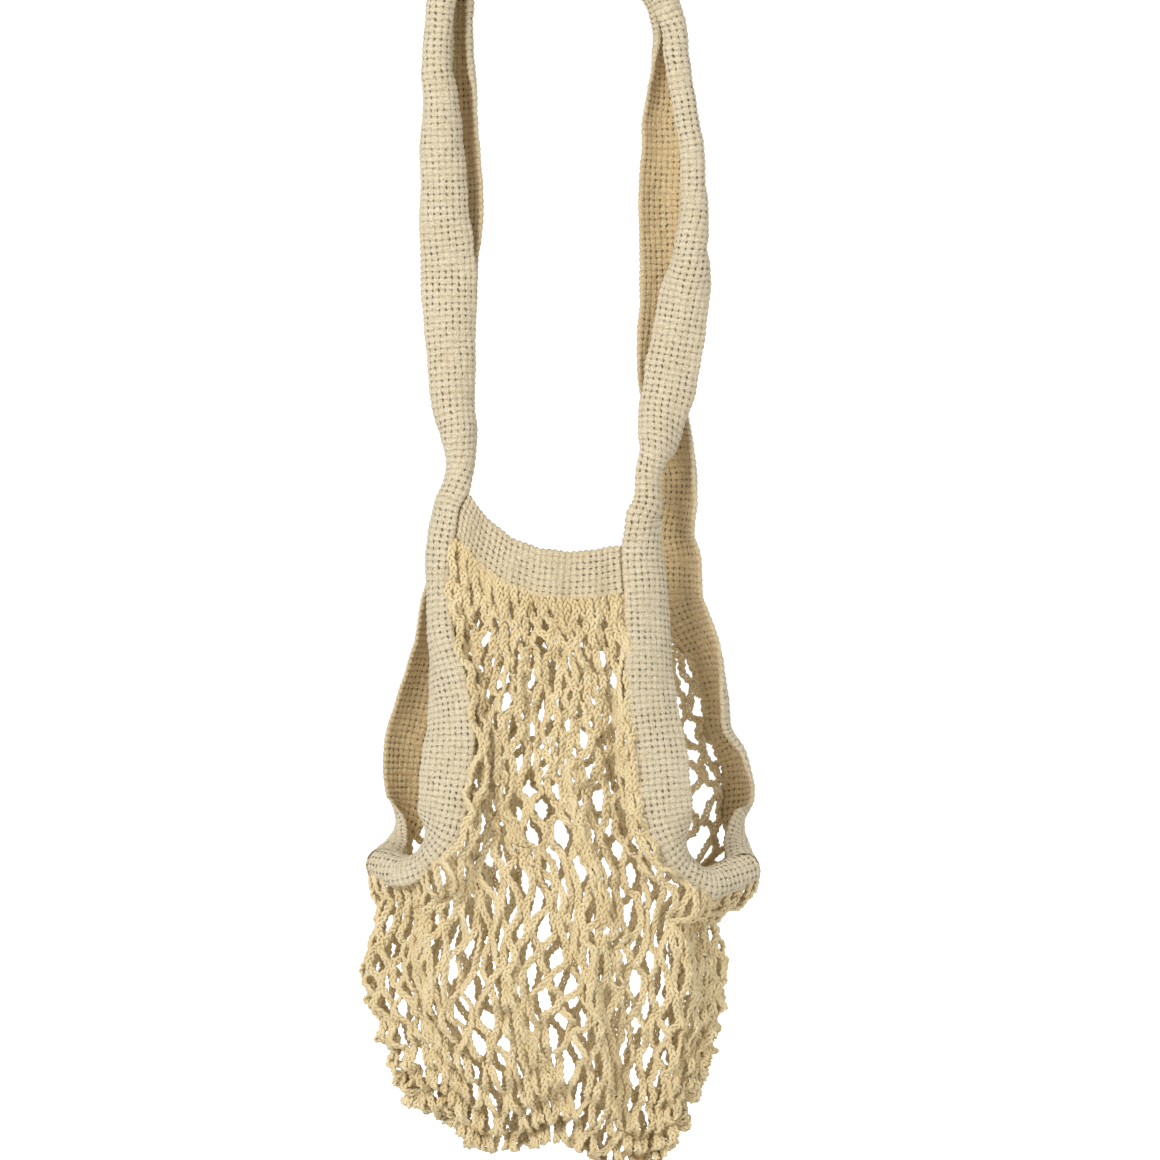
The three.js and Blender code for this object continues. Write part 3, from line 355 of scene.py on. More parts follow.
def knit_relief(u, v):
    """Height of the stitches in mm at u across and v along: chains peak between whole u, bars
    between whole v, and both are low only at whole u and v, where an eyelet is."""
    chain = np.abs(np.sin(np.pi * u)) ** ROUNDNESS
    bar = np.abs(np.sin(np.pi * v)) ** ROUNDNESS
    return RELIEF * (0.5 * (chain + bar - chain * bar) + 0.3 * bar + 0.2 * chain * bar - 0.65)


def sheet_profile(columns):
    """Round the sheet's edge once: the share s across and the offset -1 to 1 of its half
    thickness, which falls to 0 at both edges as the root of 1 - |2s-1|^squareness."""
    s = np.linspace(0, 1, columns + 1)
    half = np.sqrt(np.maximum(0, 1 - np.abs(2 * s - 1) ** EDGE_SQUARENESS))
    return np.concatenate([s, s[-2:0:-1]]), np.concatenate([half, -half[-2:0:-1]])


def knit_sheet(name, surface, rows_u, stitches_u, stitches_v, thickness):
    """Closed sheet: each point is the surface's point + normal * (offset * half thickness +
    side * relief + uneven) + outwards from a selvedge * loops. Its stitch numbers are its UV."""
    s, offset = sheet_profile(round(stitches_u * FACES_PER_STITCH))
    points, normals, edge_way = surface(rows_u, s)
    v = np.linspace(0, stitches_v, len(rows_u))[:, None] + 0 * s
    u = (s * stitches_u)[None] + 0 * v
    uneven = (waves(u * STITCH, v * STITCH, SWELL_LENGTH) * SWELL
              + waves(u * STITCH, v * STITCH, UNEVEN_LENGTH) * UNEVEN)
    height = offset * thickness / 2 + np.sign(offset) * knit_relief(u, v) + uneven
    edge = np.clip((np.abs(2 * s - 1) - SELVEDGE) / (1 - SELVEDGE), 0, 1) * np.sign(s - 0.5)
    loop = LOOP_OUT * np.abs(np.sin(np.pi * (v + LOOP_SHIFT))) - LOOP_IN
    loops = edge * (loop + LOOP_UNEVEN * waves(v * STITCH, u, LOOP_LENGTH))
    points = points + normals * height[..., None] + edge_way * loops[..., None]
    piece = grid_mesh(name, points * MM, u, v)
    # inner is 1 on the side of the sheet that faces the bag's inside and 0 outside; the material
    # paints shade on that side.
    inner = piece.data.attributes.new("inner", "FLOAT", "POINT")
    inner.data.foreach_set("value", (0.5 - 0.5 * offset + 0 * v).astype(np.float32).ravel())
    return piece


print("relief at an eyelet, on a chain and on a bar:",
      [round(float(knit_relief(u, v)), 2) for u, v in ((0, 0), (0.5, 0), (0, 0.5))])

# %% Mesh from a grid that closes on itself across
def grid_mesh(name, points, u, v):
    """Tube of quads from a grid of rows and columns, the columns wrapping round; both ends are
    closed by strips between the two faces."""
    rows, columns = points.shape[:2]
    index = np.arange(rows * columns).reshape(rows, columns)
    after = np.roll(index, -1, axis=1)
    quads = np.stack([index[:-1], after[:-1], after[1:], index[1:]], -1).reshape(-1, 4)
    half = columns // 2
    k = np.arange(half)
    ends = []
    for row, flip in ((index[0], False), (index[-1], True)):
        strip = np.stack([row[k], row[-k % columns], row[-(k + 1) % columns], row[k + 1]], -1)
        ends.append(strip[:, ::-1] if flip else strip)
    quads = np.concatenate([quads] + ends)
    return quad_object(name, points.reshape(-1, 3), quads, u.ravel(), v.ravel())


def quad_object(name, points, quads, u, v):
    """Object from points and quads, with a UV map from one value pair for each point. The sign of
    six times the volume, the sum of a.(b x c) + a.(c x d), says whether the faces look outward."""
    a, b, c, d = (points[quads[:, corner]] for corner in range(4))
    volume = (a * np.cross(b, c)).sum() + (a * np.cross(c, d)).sum()
    if volume < 0:
        quads = quads[:, ::-1]
    mesh = bpy.data.meshes.new(name)
    mesh.vertices.add(len(points))
    mesh.vertices.foreach_set("co", points.astype(np.float32).ravel())
    mesh.loops.add(quads.size)
    mesh.loops.foreach_set("vertex_index", quads.astype(np.int32).ravel())
    mesh.polygons.add(len(quads))
    mesh.polygons.foreach_set("loop_start", np.arange(0, quads.size, 4, dtype=np.int32))
    mesh.update(calc_edges=True)
    mesh.validate()
    mesh.shade_smooth()
    uv = np.stack([u[quads], v[quads]], -1).astype(np.float32)
    mesh.uv_layers.new(name="stitches").data.foreach_set("uv", uv.ravel())
    print(f"{name}: {2 * len(quads)} triangles")
    return add_object(name, mesh)


# %% The two tapes
def knit_tape(name, tape):
    """Whole tape in stitches along, evenly spaced."""
    length = even_steps(tape, 2)[1]
    stitches = round(length / STITCH)
    t, _ = even_steps(tape, stitches * FACES_PER_STITCH + 1)
    piece = knit_sheet(name, lambda rows, s: tape_surface(tape, rows, s), t, TAPE_STITCHES,
                       stitches, TAPE_THICKNESS)
    return piece, length


front_handle, front_length = knit_tape("front_knitted_tape", front_tape)
rear_handle, rear_length = knit_tape("rear_knitted_tape", rear_tape)

# %% [markdown]
# ## Top bands
# A band of the same knitting closes the mouth at the front and at the back. It is sewn to the
# net edges of the two tapes and sags between them, with small gathers. A line of the photo's sag
# with a ripple on it gives this form at once, where a cloth simulation would have to find it.

# %% Where the bands and the net are sewn to the tapes
BAND_CORNERS = {"front_left": 0.005, "front_right": 0.135, "rear_left": 0.150, "rear_right": 0.155}
FRONT_BAND = [(0.00, 0.000, 0.00), (0.13, 0.125, 0.01), (0.28, 0.185, 0.03), (0.47, 0.195, 0.05),
              (0.65, 0.155, 0.05), (0.83, 0.085, 0.03), (1.00, 0.000, 0.00)]
REAR_BAND = [(0.00, 0.000, 0.00), (0.20, 0.040, 0.03), (0.40, 0.065, 0.05), (0.60, 0.070, 0.05),
             (0.80, 0.045, 0.03), (1.00, 0.000, 0.00)]
SEAM_SAMPLES, UNDER_THE_FOLD = 1200, 300
BAND_SAMPLES, JOIN_STEPS = 600, 3


def net_edge(tape, t):
    """Points, normals and outward directions on the tape's net edge."""
    points, normals, way = tape_surface(tape, np.atleast_1d(t), [1.0])
    return points[:, 0], normals[:, 0], way[:, 0]


def seam_places(tape, foot, corner):
    """t of the band's seam (a function of the share of its height) and of the net's seam, by
    the running length of the net edge from the band's upper corner to the foot."""
    t = np.linspace(tape[1], foot, SEAM_SAMPLES)
    edge = net_edge(tape, t)[0]
    low = edge[:, 2] <= -HANDLE_DROP - corner * OPENING_DROP
    first = int(np.argmax(low & (np.arange(SEAM_SAMPLES) > UNDER_THE_FOLD)))
    run = running_length(edge[first:])

    def place(length):
        return np.interp(length, run, t[first:])

    rim = place(np.linspace(BAND_HEIGHT + SEAM_GAP, run[-1], SIDE_STEPS + 1))
    return lambda share: place(share * BAND_HEIGHT), rim


ends = {"front_right": (front_tape, 0), "front_left": (front_tape, len(front_tape[0]) - 1),
        "rear_left": (rear_tape, 0), "rear_right": (rear_tape, len(rear_tape[0]) - 1)}
seams = {corner: seam_places(*ends[corner], BAND_CORNERS[corner]) for corner in ends}
print("the net's seam starts at t =", {c: round(float(seams[c][1][0]), 2) for c in seams})

# %% Band surface
def band_surface(shape, left, right, facing):
    """Surface between two tape edges, as a function of rows across the mouth and shares down.
    The upper edge is the straight line less the sag; down from it the way of the two edges is
    mixed, with the bulge and the gathers added outwards. Near an end it joins the tape edge."""
    shape = np.array(shape)
    outward = np.array([0, facing, 0])

    def edge(corner, s):
        points, normals, way = net_edge(ends[corner][0], seams[corner][0](s))
        return points + way * SEAM_GAP, normals

    upper, lower = ([edge(c, np.array([s]))[0] for c in (left, right)] for s in (0.0, 1.0))
    drops = [unit(low - high)[0] for low, high in zip(lower, upper)]
    span = np.linalg.norm(upper[0] - upper[1])

    def surface(along, s):
        s = np.asarray(s)
        (first, first_normal), (last, last_normal) = edge(left, s), edge(right, s)
        top = mix(upper[0], upper[1], along[:, None])
        top[:, 2] -= np.interp(along, shape[:, 0], shape[:, 1]) * span
        way = unit(mix(drops[0], drops[1], along[:, None]))
        bulge = np.interp(along, shape[:, 0], shape[:, 2]) * BODY_DEPTH
        ripple = BAND_RIPPLE * np.sin(2 * np.pi * BAND_RIPPLES * along)
        out = bulge[:, None] + ripple[:, None] * (0.5 + s[None, :])
        points = (top[:, None] + way[:, None] * (s[None, :, None] * BAND_HEIGHT)
                  + outward * out[..., None])
        near = np.minimum(along, 1 - along) * BAND_STEPS / JOIN_STEPS
        fade = 1 - smooth(near)[:, None, None]
        at_left = (along < 0.5)[:, None, None]
        ends_here = np.where(at_left, (first - points[0])[None], (last - points[-1])[None])
        points = points + ends_here * fade
        normals = unit(mix(outward, np.where(at_left, first_normal[None], last_normal[None]), fade))
        return points, normals, np.broadcast_to(way[:, None], points.shape)

    return surface


front_band_surface = band_surface(FRONT_BAND, "front_left", "front_right", FRONT)
rear_band_surface = band_surface(REAR_BAND, "rear_left", "rear_right", REAR)


def knit_band(name, surface):
    """Band in stitches along, evenly spaced by the length of its middle line."""
    along = np.linspace(0, 1, BAND_SAMPLES)
    run = running_length(surface(along, [0.5])[0][:, 0])
    stitches = round(run[-1] / STITCH)
    rows = np.interp(np.linspace(0, run[-1], stitches * FACES_PER_STITCH + 1), run, along)
    sheet = knit_sheet(name, surface, rows, BAND_STITCHES, stitches, BAND_THICKNESS)
    return sheet, run[-1]


front_band, front_band_length = knit_band("front_knitted_band", front_band_surface)
rear_band, rear_band_length = knit_band("rear_knitted_band", rear_band_surface)

# %% [markdown]
# ## The net's surface
# The net hangs from the bands and from the tapes' net edges, spreads over the feet of the side
# openings and closes in the bottom fold. A tube could be sculpted to this form. Here columns run
# from the rim through three level sections to the fold, so a few rows of shares hold the photo's
# outline, and the cords are laid on these columns afterwards.

# %% Rim of the net, a little inside the edges that it is sewn to
SEAM_DEPTH, TURN_STEPS = 1.8, 4


def lines_of(parts):
    """Rim points and downward ways of several stretches, end to end."""
    return [np.concatenate(columns) for columns in zip(*parts)]


def on_tape(corner):
    """The net's seam on a tape edge, from the band down to the foot."""
    points, _, way = net_edge(ends[corner][0], seams[corner][1])
    down = smooth(1 - np.arange(len(points)) / TURN_STEPS)[:, None]
    return points - way * SEAM_DEPTH, unit(mix(way, np.array([0, 0, -1.0]), down))


def on_band(surface):
    """The net's seam on a band's lower edge, square to the edge, both corners left out."""
    points = surface(np.linspace(0, 1, BAND_STEPS + 1), [1.0])[0][:, 0]
    edge = unit(np.gradient(points, axis=0))
    square = unit(np.array([0, 0, -1.0]) - edge * -edge[:, 2:])
    way = unit(square + (0, 0, -1))
    return [a[1:-1] for a in (points - square * SEAM_DEPTH, way)]


rim_point, rim_way = lines_of([
    [a[::-1] for a in on_tape("front_right")], [a[::-1] for a in on_band(front_band_surface)],
    [a[:-1] for a in on_tape("front_left")], [a[::-1] for a in on_tape("rear_left")],
    on_band(rear_band_surface), [a[:-1] for a in on_tape("rear_right")]])
for foot in (0, RIM_STEPS // 2):
    rim_point[foot, 1] = 0
print(f"rim of {len(rim_point)} points")

# %% Columns of the net
NET_RINGS = [(0.08, -0.420, 0.417, 0.42, 0.30), (0.28, -0.452, 0.440, 0.44, 0.65),
             (0.56, -0.400, 0.400, 0.30, 0.90)]
FAN = {"front_left": (1.00, 0.80, 0.60, 0.46, 0.39, 0.33, 0.27, 0.20, 0.135, 0.07, 0.00),
       "front_right": (1.00, 0.86, 0.68, 0.52, 0.42, 0.34, 0.27, 0.20, 0.135, 0.07, 0.00),
       "rear_left": (1.00, 0.90, 0.76, 0.65, 0.56, 0.47, 0.38, 0.29, 0.19, 0.10, 0.00),
       "rear_right": (1.00, 0.95, 0.86, 0.76, 0.65, 0.53, 0.41, 0.31, 0.21, 0.10, 0.00)}
HEM = [(-0.355, 0.735), (-0.295, 0.810), (-0.250, 0.790), (-0.210, 0.895), (-0.130, 0.920),
       (-0.045, 0.895), (0.030, 0.870), (0.090, 0.935), (0.160, 1.000), (0.245, 0.995),
       (0.300, 0.860), (0.355, 0.690)]
CELL_SPLIT = 3
LEAD_SAG, HEM_TAPER, CURVE_STEPS = 1.2, 8, 40
FOOT_LEVEL = -HANDLE_DROP - OPENING_DROP


def column_points(u):
    """Six points of the column at rim place u: rim, lead, three level sections, hem. On a level
    section the share q of the half width gives the depth by the root of 1 - q^2."""
    half, quarter = RIM_STEPS / 2, RIM_STEPS / 4
    point, way = (np.stack([np.interp(u, np.arange(RIM_STEPS + 1), np.append(v[:, k], v[0, k]))
                            for k in range(3)], -1) for v in (rim_point, rim_way))
    way = unit(way)
    right, front = (u < quarter) | (u > 3 * quarter), u < half
    from_foot = np.where((u // quarter).astype(int) % 2 == 0, u % quarter, quarter - u % quarter)
    t = from_foot / CELL_SPLIT
    name = np.select([(u < quarter), (u < half), (u < 3 * quarter)], [0, 1, 2], 3)
    fan = np.choose(name, [through(FAN[n], t) for n in
                           ("front_right", "front_left", "rear_left", "rear_right")])
    even = 1 - t / (len(FAN["front_left"]) - 1)
    facing = np.where(front, FRONT, REAR)
    lead = point + unit(way + (0, 0, -LEAD_SAG)) * NET_LEAD
    points = [point, lead]
    for down, ring_left, ring_right, deep, evenly in NET_RINGS:
        share = mix(fan, np.sin(even * np.pi / 2), evenly)
        middle = (ring_left + ring_right) / 2
        x = mix(middle, np.where(right, ring_right, ring_left), share) * BODY_WIDTH
        y = facing * deep * BODY_DEPTH * np.sqrt(np.maximum(0, 1 - share**2))
        points.append(np.stack([x, y, 0 * x + FOOT_LEVEL - down * NET_DROP], -1))
    across = np.where(right, (1 + even) / 2, (1 - even) / 2)
    hem = through(HEM, across * (len(HEM) - 1))
    y = facing * (HEM_FOLD - NET_WALL) / 2 * smooth((1 - np.abs(2 * across - 1)) * HEM_TAPER)
    points.append(np.stack([hem[:, 0] * BODY_WIDTH, y, FOOT_LEVEL - hem[:, 1] * NET_DROP], -1))
    return np.stack(points, 1)


def column_curve(points, steps=CURVE_STEPS):
    """Centripetal Catmull-Rom curve through each row of points, steps samples a stretch."""
    padded = np.concatenate([2 * points[:, :1] - points[:, 1:2], points,
                             2 * points[:, -1:] - points[:, -2:-1]], axis=1)
    gap = np.linalg.norm(np.diff(padded, axis=1), axis=2)[..., None] ** 0.5
    f = np.linspace(0, 1, steps, endpoint=False)[:, None]
    out = []
    for k in range(points.shape[1] - 1):
        a, b, c, d = (padded[:, k + n] for n in range(4))
        p, q, r = (gap[:, k + n] for n in range(3))
        start = (((b - a) / p - (c - a) / (p + q) + (c - b) / q) * q)[:, None]
        end = (((c - b) / q - (d - b) / (q + r) + (d - c) / r) * q)[:, None]
        b, c = b[:, None], c[:, None]
        out.append(b + start * f + (3 * c - 3 * b - 2 * start - end) * f**2
                   + (2 * b - 2 * c + start + end) * f**3)
    return np.concatenate(out + [points[:, -1:]], axis=1)


print("lowest columns:", round(float(column_points(np.arange(RIM_STEPS))[..., 2].min()), 1), "mm")

# %% [markdown]
# ## Laying out the cords
# Most cords of the net start at a band, and a few at the bottom of each side opening. All end in
# the bottom fold, where they turn round into the other panel. At each level they are spread from
# tape to tape, so the outer ones run along the tapes, as on the real net, and open out below.
# Neighbours join in turn, which leaves diamond cells. A wireframe of a grid would give cells too,
# but all of them alike, so bunching and folds are smooth uneven fields here.

# %% Columns of the surface and their lengths
PANEL_CORDS, FOOT_CORDS = 44, 9
FOOT_STEPS = 5
COLUMNS_A_STEP = 6
PANEL_STEPS = RIM_STEPS // 2
dense = np.linspace(0, RIM_STEPS, RIM_STEPS * COLUMNS_A_STEP + 1)
curves = column_curve(column_points(dense))
run = np.cumsum(np.linalg.norm(np.diff(curves, axis=1, prepend=curves[:, :1]), axis=2), axis=1)
lengths = run[:, -1]
print(f"columns {lengths.min():.0f} to {lengths.max():.0f} mm long")

# %% Levels: 0 at the fold, 1 at the feet of the side openings, 2 at the bands
CORD_STEP = 1.05
SLACK, SLACK_HEIGHT = 0.50, 34
LOW_LENGTH, HIGH_LENGTH = 100, 140
cord_length = LOW_LENGTH + HIGH_LENGTH + SLACK * SLACK_HEIGHT
cloth = np.linspace(0, cord_length, round(cord_length / CORD_STEP) + 1)
height = cloth - SLACK * SLACK_HEIGHT * (1 - np.exp(-cloth / SLACK_HEIGHT))
height = height / height[-1] * (LOW_LENGTH + HIGH_LENGTH)
level = np.where(height < LOW_LENGTH, height / LOW_LENGTH, 1 + (height - LOW_LENGTH) / HIGH_LENGTH)
print(f"{len(level)} levels on a cord of {cord_length:.0f} mm")

# %% Rows of a panel, one for each level
ROW_SAMPLES = 161


def panel_rows(panel):
    """For each level, points of the panel from tape to tape, their shares of the way and their
    columns. The height on a column is level * foot height up to the feet, and above them foot
    height + (level - 1) * (top - foot height), a tape's columns taking their corner's top."""
    columns = COLUMNS_A_STEP * PANEL_STEPS
    part = slice(panel * columns, (panel + 1) * columns + 1)
    u = dense[part] - dense[part][0]
    outer = (u <= FOOT_STEPS) | (u >= PANEL_STEPS - FOOT_STEPS)
    foot = np.interp(u, u[outer], lengths[part][outer])
    top = np.interp(np.clip(u, SIDE_STEPS, PANEL_STEPS - SIDE_STEPS), u, lengths[part])
    reach = 1 + (lengths[part] - foot) / (top - foot)
    high = np.where(level[:, None] < 1, level[:, None] * foot,
                    foot + (level[:, None] - 1) * (top - foot))
    grid = np.stack([[np.interp(lengths[part][i] - high[:, i], run[part][i], curves[part][i, :, k])
                      for i in range(len(u))] for k in range(3)], -1)
    middle = len(u) // 2
    low_u = np.interp(level, np.maximum.accumulate(reach[:middle]), u[:middle])
    high_u = np.interp(level, np.maximum.accumulate(reach[:middle:-1]), u[:middle:-1])
    low_u[level <= 1], high_u[level <= 1] = 0, PANEL_STEPS
    rows = []
    for j in range(len(level)):
        start, end = min(low_u[j], SIDE_STEPS), max(high_u[j], PANEL_STEPS - SIDE_STEPS)
        places = np.linspace(start, end, ROW_SAMPLES)
        points = np.stack([np.interp(places, u, grid[:, j, k]) for k in range(3)], -1)
        way = np.cumsum(np.linalg.norm(np.diff(points, axis=0, prepend=points[:1]), axis=1))
        rows.append((points, way / way[-1], places))
    return rows


panels = [panel_rows(0), panel_rows(1)]
tape_ends = np.array([[(points[0], points[-1]) for points, _, _ in rows] for rows in panels])
print(f"lowest rows {np.linalg.norm(np.diff(tape_ends[:, 0], axis=1)[:, 0], axis=-1).round()} mm wide")

# %% Cords spread over the rows
EVEN_BELOW = 0.3


def spread(rows, position):
    """Places of a panel's cords from their positions, 0 to PANEL_CORDS. Below the feet the foot
    cords keep the share of the row that hangs from the openings' bottoms, which turns to their
    even share further down. Above, the band cords have the whole row."""
    counts = [0, FOOT_CORDS, PANEL_CORDS - FOOT_CORDS, PANEL_CORDS]
    _, way, places = rows[np.argmax(level > 1) - 1]
    at_foot = np.interp([FOOT_STEPS, PANEL_STEPS - FOOT_STEPS], places, way)
    print("share of the row at the feet", at_foot.round(2))
    out = []
    for j, (points, way, _) in enumerate(rows):
        near_foot = smooth((level[j] - EVEN_BELOW) / (1 - EVEN_BELOW))
        even = mix(np.array(counts[1:3]) / PANEL_CORDS, at_foot, near_foot)
        shares = [0, 0, 1, 1] if level[j] > 1 else [0, even[0], even[1], 1]
        share = np.interp(position[:, j], counts, shares)
        out.append(np.stack([np.interp(share, way, points[:, k]) for k in range(3)], -1))
    return np.stack(out, 1)


cords = 2 * PANEL_CORDS
index = np.arange(cords)[:, None]
number = index % PANEL_CORDS
from_side = np.minimum(number, PANEL_CORDS - 1 - number)
at_opening = from_side < FOOT_CORDS
turn = 2 * np.pi * (index + 0.5) / cords
above = level > 1
foot_sample = int(np.argmax(above)) - 1
from_rim = np.where(at_opening, np.maximum(cloth[foot_sample] - cloth, 0), cord_length - cloth)
share_down = 1 - level / 2
short_cords = 4 * FOOT_CORDS
whole = (cords - short_cords) * cord_length + short_cords * cloth[foot_sample]
print(f"{cords} cords, {whole * MM:.1f} m in all")

# %% Uneven fields
RING, LEAN_X, LEAN_Y = 60, 0.35, 0.2
APART = 97.0


def field(length):
    """Smooth field over the whole net, read on a ring that moves sideways down the cloth."""
    return waves(RING * np.cos(turn) + LEAN_X * cloth, RING * np.sin(turn) - LEAN_Y * cloth, length)


def own_field(length):
    """A field of its own for each cord, read on lines far apart."""
    return waves(index * APART, cloth + 0 * index, length)


# %% Uneven spacing, then places on the surface
GATHERS = 10
GATHER_PULL, BUNCH_PULL, BUNCH_LENGTH = 0.5, 0.7, 34
FREE_LENGTH = 30
free = smooth(from_rim / FREE_LENGTH)
clear_of_tape = np.where(above, from_side - FOOT_CORDS + 0.5, from_side + 0.5)
bunch = -GATHER_PULL * np.sin(GATHERS * turn) + BUNCH_PULL * field(BUNCH_LENGTH)
position = number + 0.5 + bunch * free * smooth(clear_of_tape / 3)
base = np.concatenate([spread(rows, position[panel * PANEL_CORDS:(panel + 1) * PANEL_CORDS])
                       for panel, rows in enumerate(panels)])
print("cords shift by up to", round(float(np.abs(bunch).max()), 1), "places")


# %% Neighbours and the outward direction
def neighbours(points):
    """The next and the previous cord. Above the feet, the outer cord of a panel has its own
    mirror image across the tape's edge there, so that it reaches the edge half way."""
    after, before = np.roll(points, -1, axis=0), np.roll(points, 1, axis=0)
    for panel in (0, 1):
        first, last = panel * PANEL_CORDS + FOOT_CORDS, (panel + 1) * PANEL_CORDS - 1 - FOOT_CORDS
        before[first, above] = 2 * tape_ends[panel, above, 0] - points[first, above]
        after[last, above] = 2 * tape_ends[panel, above, 1] - points[last, above]
    return after, before


def surface_normal(points):
    """Outward direction: around x up, from the neighbouring cords and the next points."""
    after, before = neighbours(points)
    return unit(np.cross(np.gradient(points, axis=1), after - before))

# %% Folds, layers and the crumpled bottom
GATHER_DEPTH = 4.5
CRUMPLE, CRUMPLE_LENGTH = 6.0, 13
LAYER, LAYER_UNEVEN, LAYER_LENGTH = 0.7, 1.6, 46
DRIFTS = [(34, 2.1), (28, 1.6), (24, 2.4)]
normal = surface_normal(base)
gather = np.cos(GATHERS * turn) + 0.5 * np.cos((GATHERS - 3) * turn + 4 * share_down)
out = GATHER_DEPTH * np.sin(np.pi * share_down) ** 0.7 * gather / 1.5
fold_phase = 2 * np.pi * cloth / CRUMPLE_LENGTH + 2.2 * field(40)
out = out + np.exp(-cloth / SLACK_HEIGHT) * CRUMPLE * np.sin(fold_phase)
layer = np.where(index % 2 == 0, LAYER, -LAYER) + LAYER_UNEVEN * own_field(LAYER_LENGTH)
out = out + layer * smooth(from_rim / 12) * mix(1, 0.5, share_down)
drift = np.stack([field(length) * amount for length, amount in DRIFTS], -1)
loose = free * (0.3 + 0.7 * share_down) * smooth(clear_of_tape / 2)
base = base + normal * out[..., None] + drift * loose[..., None]
print("folds stand out by up to", round(float(np.abs(out).max()), 1), "mm")

# %% Joining neighbours in turn
CELLS_LOW, CELLS_HIGH = 10, 10
ROW_UNEVEN, ROW_LENGTH = 0.16, 30
MEET, MEET_FLATNESS = 2.6, 1.3
CURTAIN, CURTAIN_LEAN = 32, 0.25


def lean_sideways(points):
    """Each cord leans to its next and previous neighbour in turn: the share of the way is
    (1 - MEET / distance) / 2 times a cosine of the row number, flattened where two cords
    run together. Odd cords lean the other way."""
    row = np.where(above, CELLS_LOW + CELLS_HIGH * (level - 1), CELLS_LOW * level)
    turns = np.cos(np.pi * (row + ROW_UNEVEN * field(ROW_LENGTH)))
    lean = np.clip(MEET_FLATNESS * turns, -1, 1) * np.where(index % 2 == 0, 1, -1)
    after, before = neighbours(points)
    other = np.where(lean[..., None] > 0, after, before)
    distance = np.linalg.norm(other - points, axis=-1)
    share = 0.5 * np.maximum(0, 1 - MEET / np.maximum(distance, NEARLY)) * np.abs(lean)
    share = share * mix(CURTAIN_LEAN, 1, smooth(from_rim / CURTAIN))
    return points + (other - points) * share[..., None]


WOBBLE, WOBBLE_LENGTH = 1.25, 11
joined = lean_sideways(base)
wobble = np.stack([own_field(WOBBLE_LENGTH) for _ in range(3)], -1)
joined = joined + wobble * (WOBBLE * smooth(from_rim / 14))[..., None]
print("joined cords reach down to", round(float(joined[..., 2].min()), 1), "mm")

# %% [markdown]
# ## Plaited cords
# A cord of the net is a knitted chain, which reads as a flat plait of three yarns. One smooth
# tube would be lighter, but reads as wire. Each yarn follows the cord on a figure of eight: once
# across and twice in and out for each repeat. A front cord and the rear cord behind it are one
# length that turns round in the bottom fold.

# %% Cord paths from front rim to rear rim
def smoothed(points, weight=0.25, rounds=2):
    """Running mean along the path, which rounds the turn in the fold."""
    for _ in range(rounds):
        inner = points[:, 1:-1] * (1 - 2 * weight) + weight * (points[:, :-2] + points[:, 2:])
        points = np.concatenate([points[:, :1], inner, points[:, -1:]], axis=1)
    return points


outward = surface_normal(joined)


def there_and_back(values, chosen, samples):
    """Front cords from the rim to the fold, each followed by the rear cord behind it, up."""
    down, up = values[chosen, samples - 1::-1], values[cords - 1 - chosen, 1:samples]
    return smoothed(np.concatenate([down, up], axis=1))


# %% Yarns of a plait
YARN_RADIUS = 0.78
PLAIT_WIDTH, PLAIT_DEPTH, PLAIT_REPEAT = 1.20, 0.60, 9.0
PLAIT_ROLL, ROLL_LENGTH = 0.7, 45
YARNS, SIDES = 3, 4


def yarn_mesh(chosen, samples):
    """Yarn k runs at path + across * width sin(p) + normal * depth sin(2p), with the phase p = 2 pi
    (length / repeat + k / yarns + a random start). Each is a tube, its ends closed. Gives points,
    faces and the two values of the UV map: round the yarn and along it."""
    paths = there_and_back(joined, chosen, samples)
    outward_here = unit(there_and_back(outward, chosen, samples))
    along = unit(np.gradient(paths, axis=1))
    steps = np.diff(paths, axis=1, prepend=paths[:, :1])
    distance = np.cumsum(np.linalg.norm(steps, axis=2), axis=1)
    across = unit(np.cross(along, outward_here))
    out = np.cross(across, along)
    roll = PLAIT_ROLL * waves(distance, 50 * np.arange(len(paths))[:, None], ROLL_LENGTH)
    across, out = (across * np.cos(roll)[..., None] + out * np.sin(roll)[..., None],
                   out * np.cos(roll)[..., None] - across * np.sin(roll)[..., None])
    phase = 2 * np.pi * (distance[:, None] / PLAIT_REPEAT
                         + (np.arange(YARNS) / YARNS)[None, :, None]
                         + random.uniform(0, 1, len(paths))[:, None, None])
    centre = (paths[:, None] + across[:, None] * (PLAIT_WIDTH * np.sin(phase))[..., None]
              + out[:, None] * (PLAIT_DEPTH * np.sin(2 * phase))[..., None])
    yarn = unit(np.gradient(centre, axis=2))
    side = unit(np.cross(yarn, np.broadcast_to(out[:, None], yarn.shape)))
    up = np.cross(side, yarn)
    angle = 2 * np.pi * (np.arange(SIDES) + 0.5) / SIDES
    ring = (side[..., None, :] * np.cos(angle)[:, None] + up[..., None, :] * np.sin(angle)[:, None])
    points = centre[..., None, :] + ring * YARN_RADIUS
    corner = np.arange(points[..., 0].size).reshape(points.shape[:-1])
    after = np.roll(corner, -1, axis=-1)
    quads = np.stack([corner[:, :, :-1], corner[:, :, 1:], after[:, :, 1:], after[:, :, :-1]], -1)
    caps = [corner[:, :, 0].reshape(-1, SIDES), corner[:, :, -1, ::-1].reshape(-1, SIDES)]
    quads = np.concatenate([quads.reshape(-1, 4)] + caps)
    along_yarn = np.broadcast_to((distance[:, None] / STITCH)[..., None], corner.shape)
    round_yarn = np.broadcast_to(np.cos(angle), corner.shape)
    return points.reshape(-1, 3) * MM, quads, round_yarn.ravel(), along_yarn.ravel()


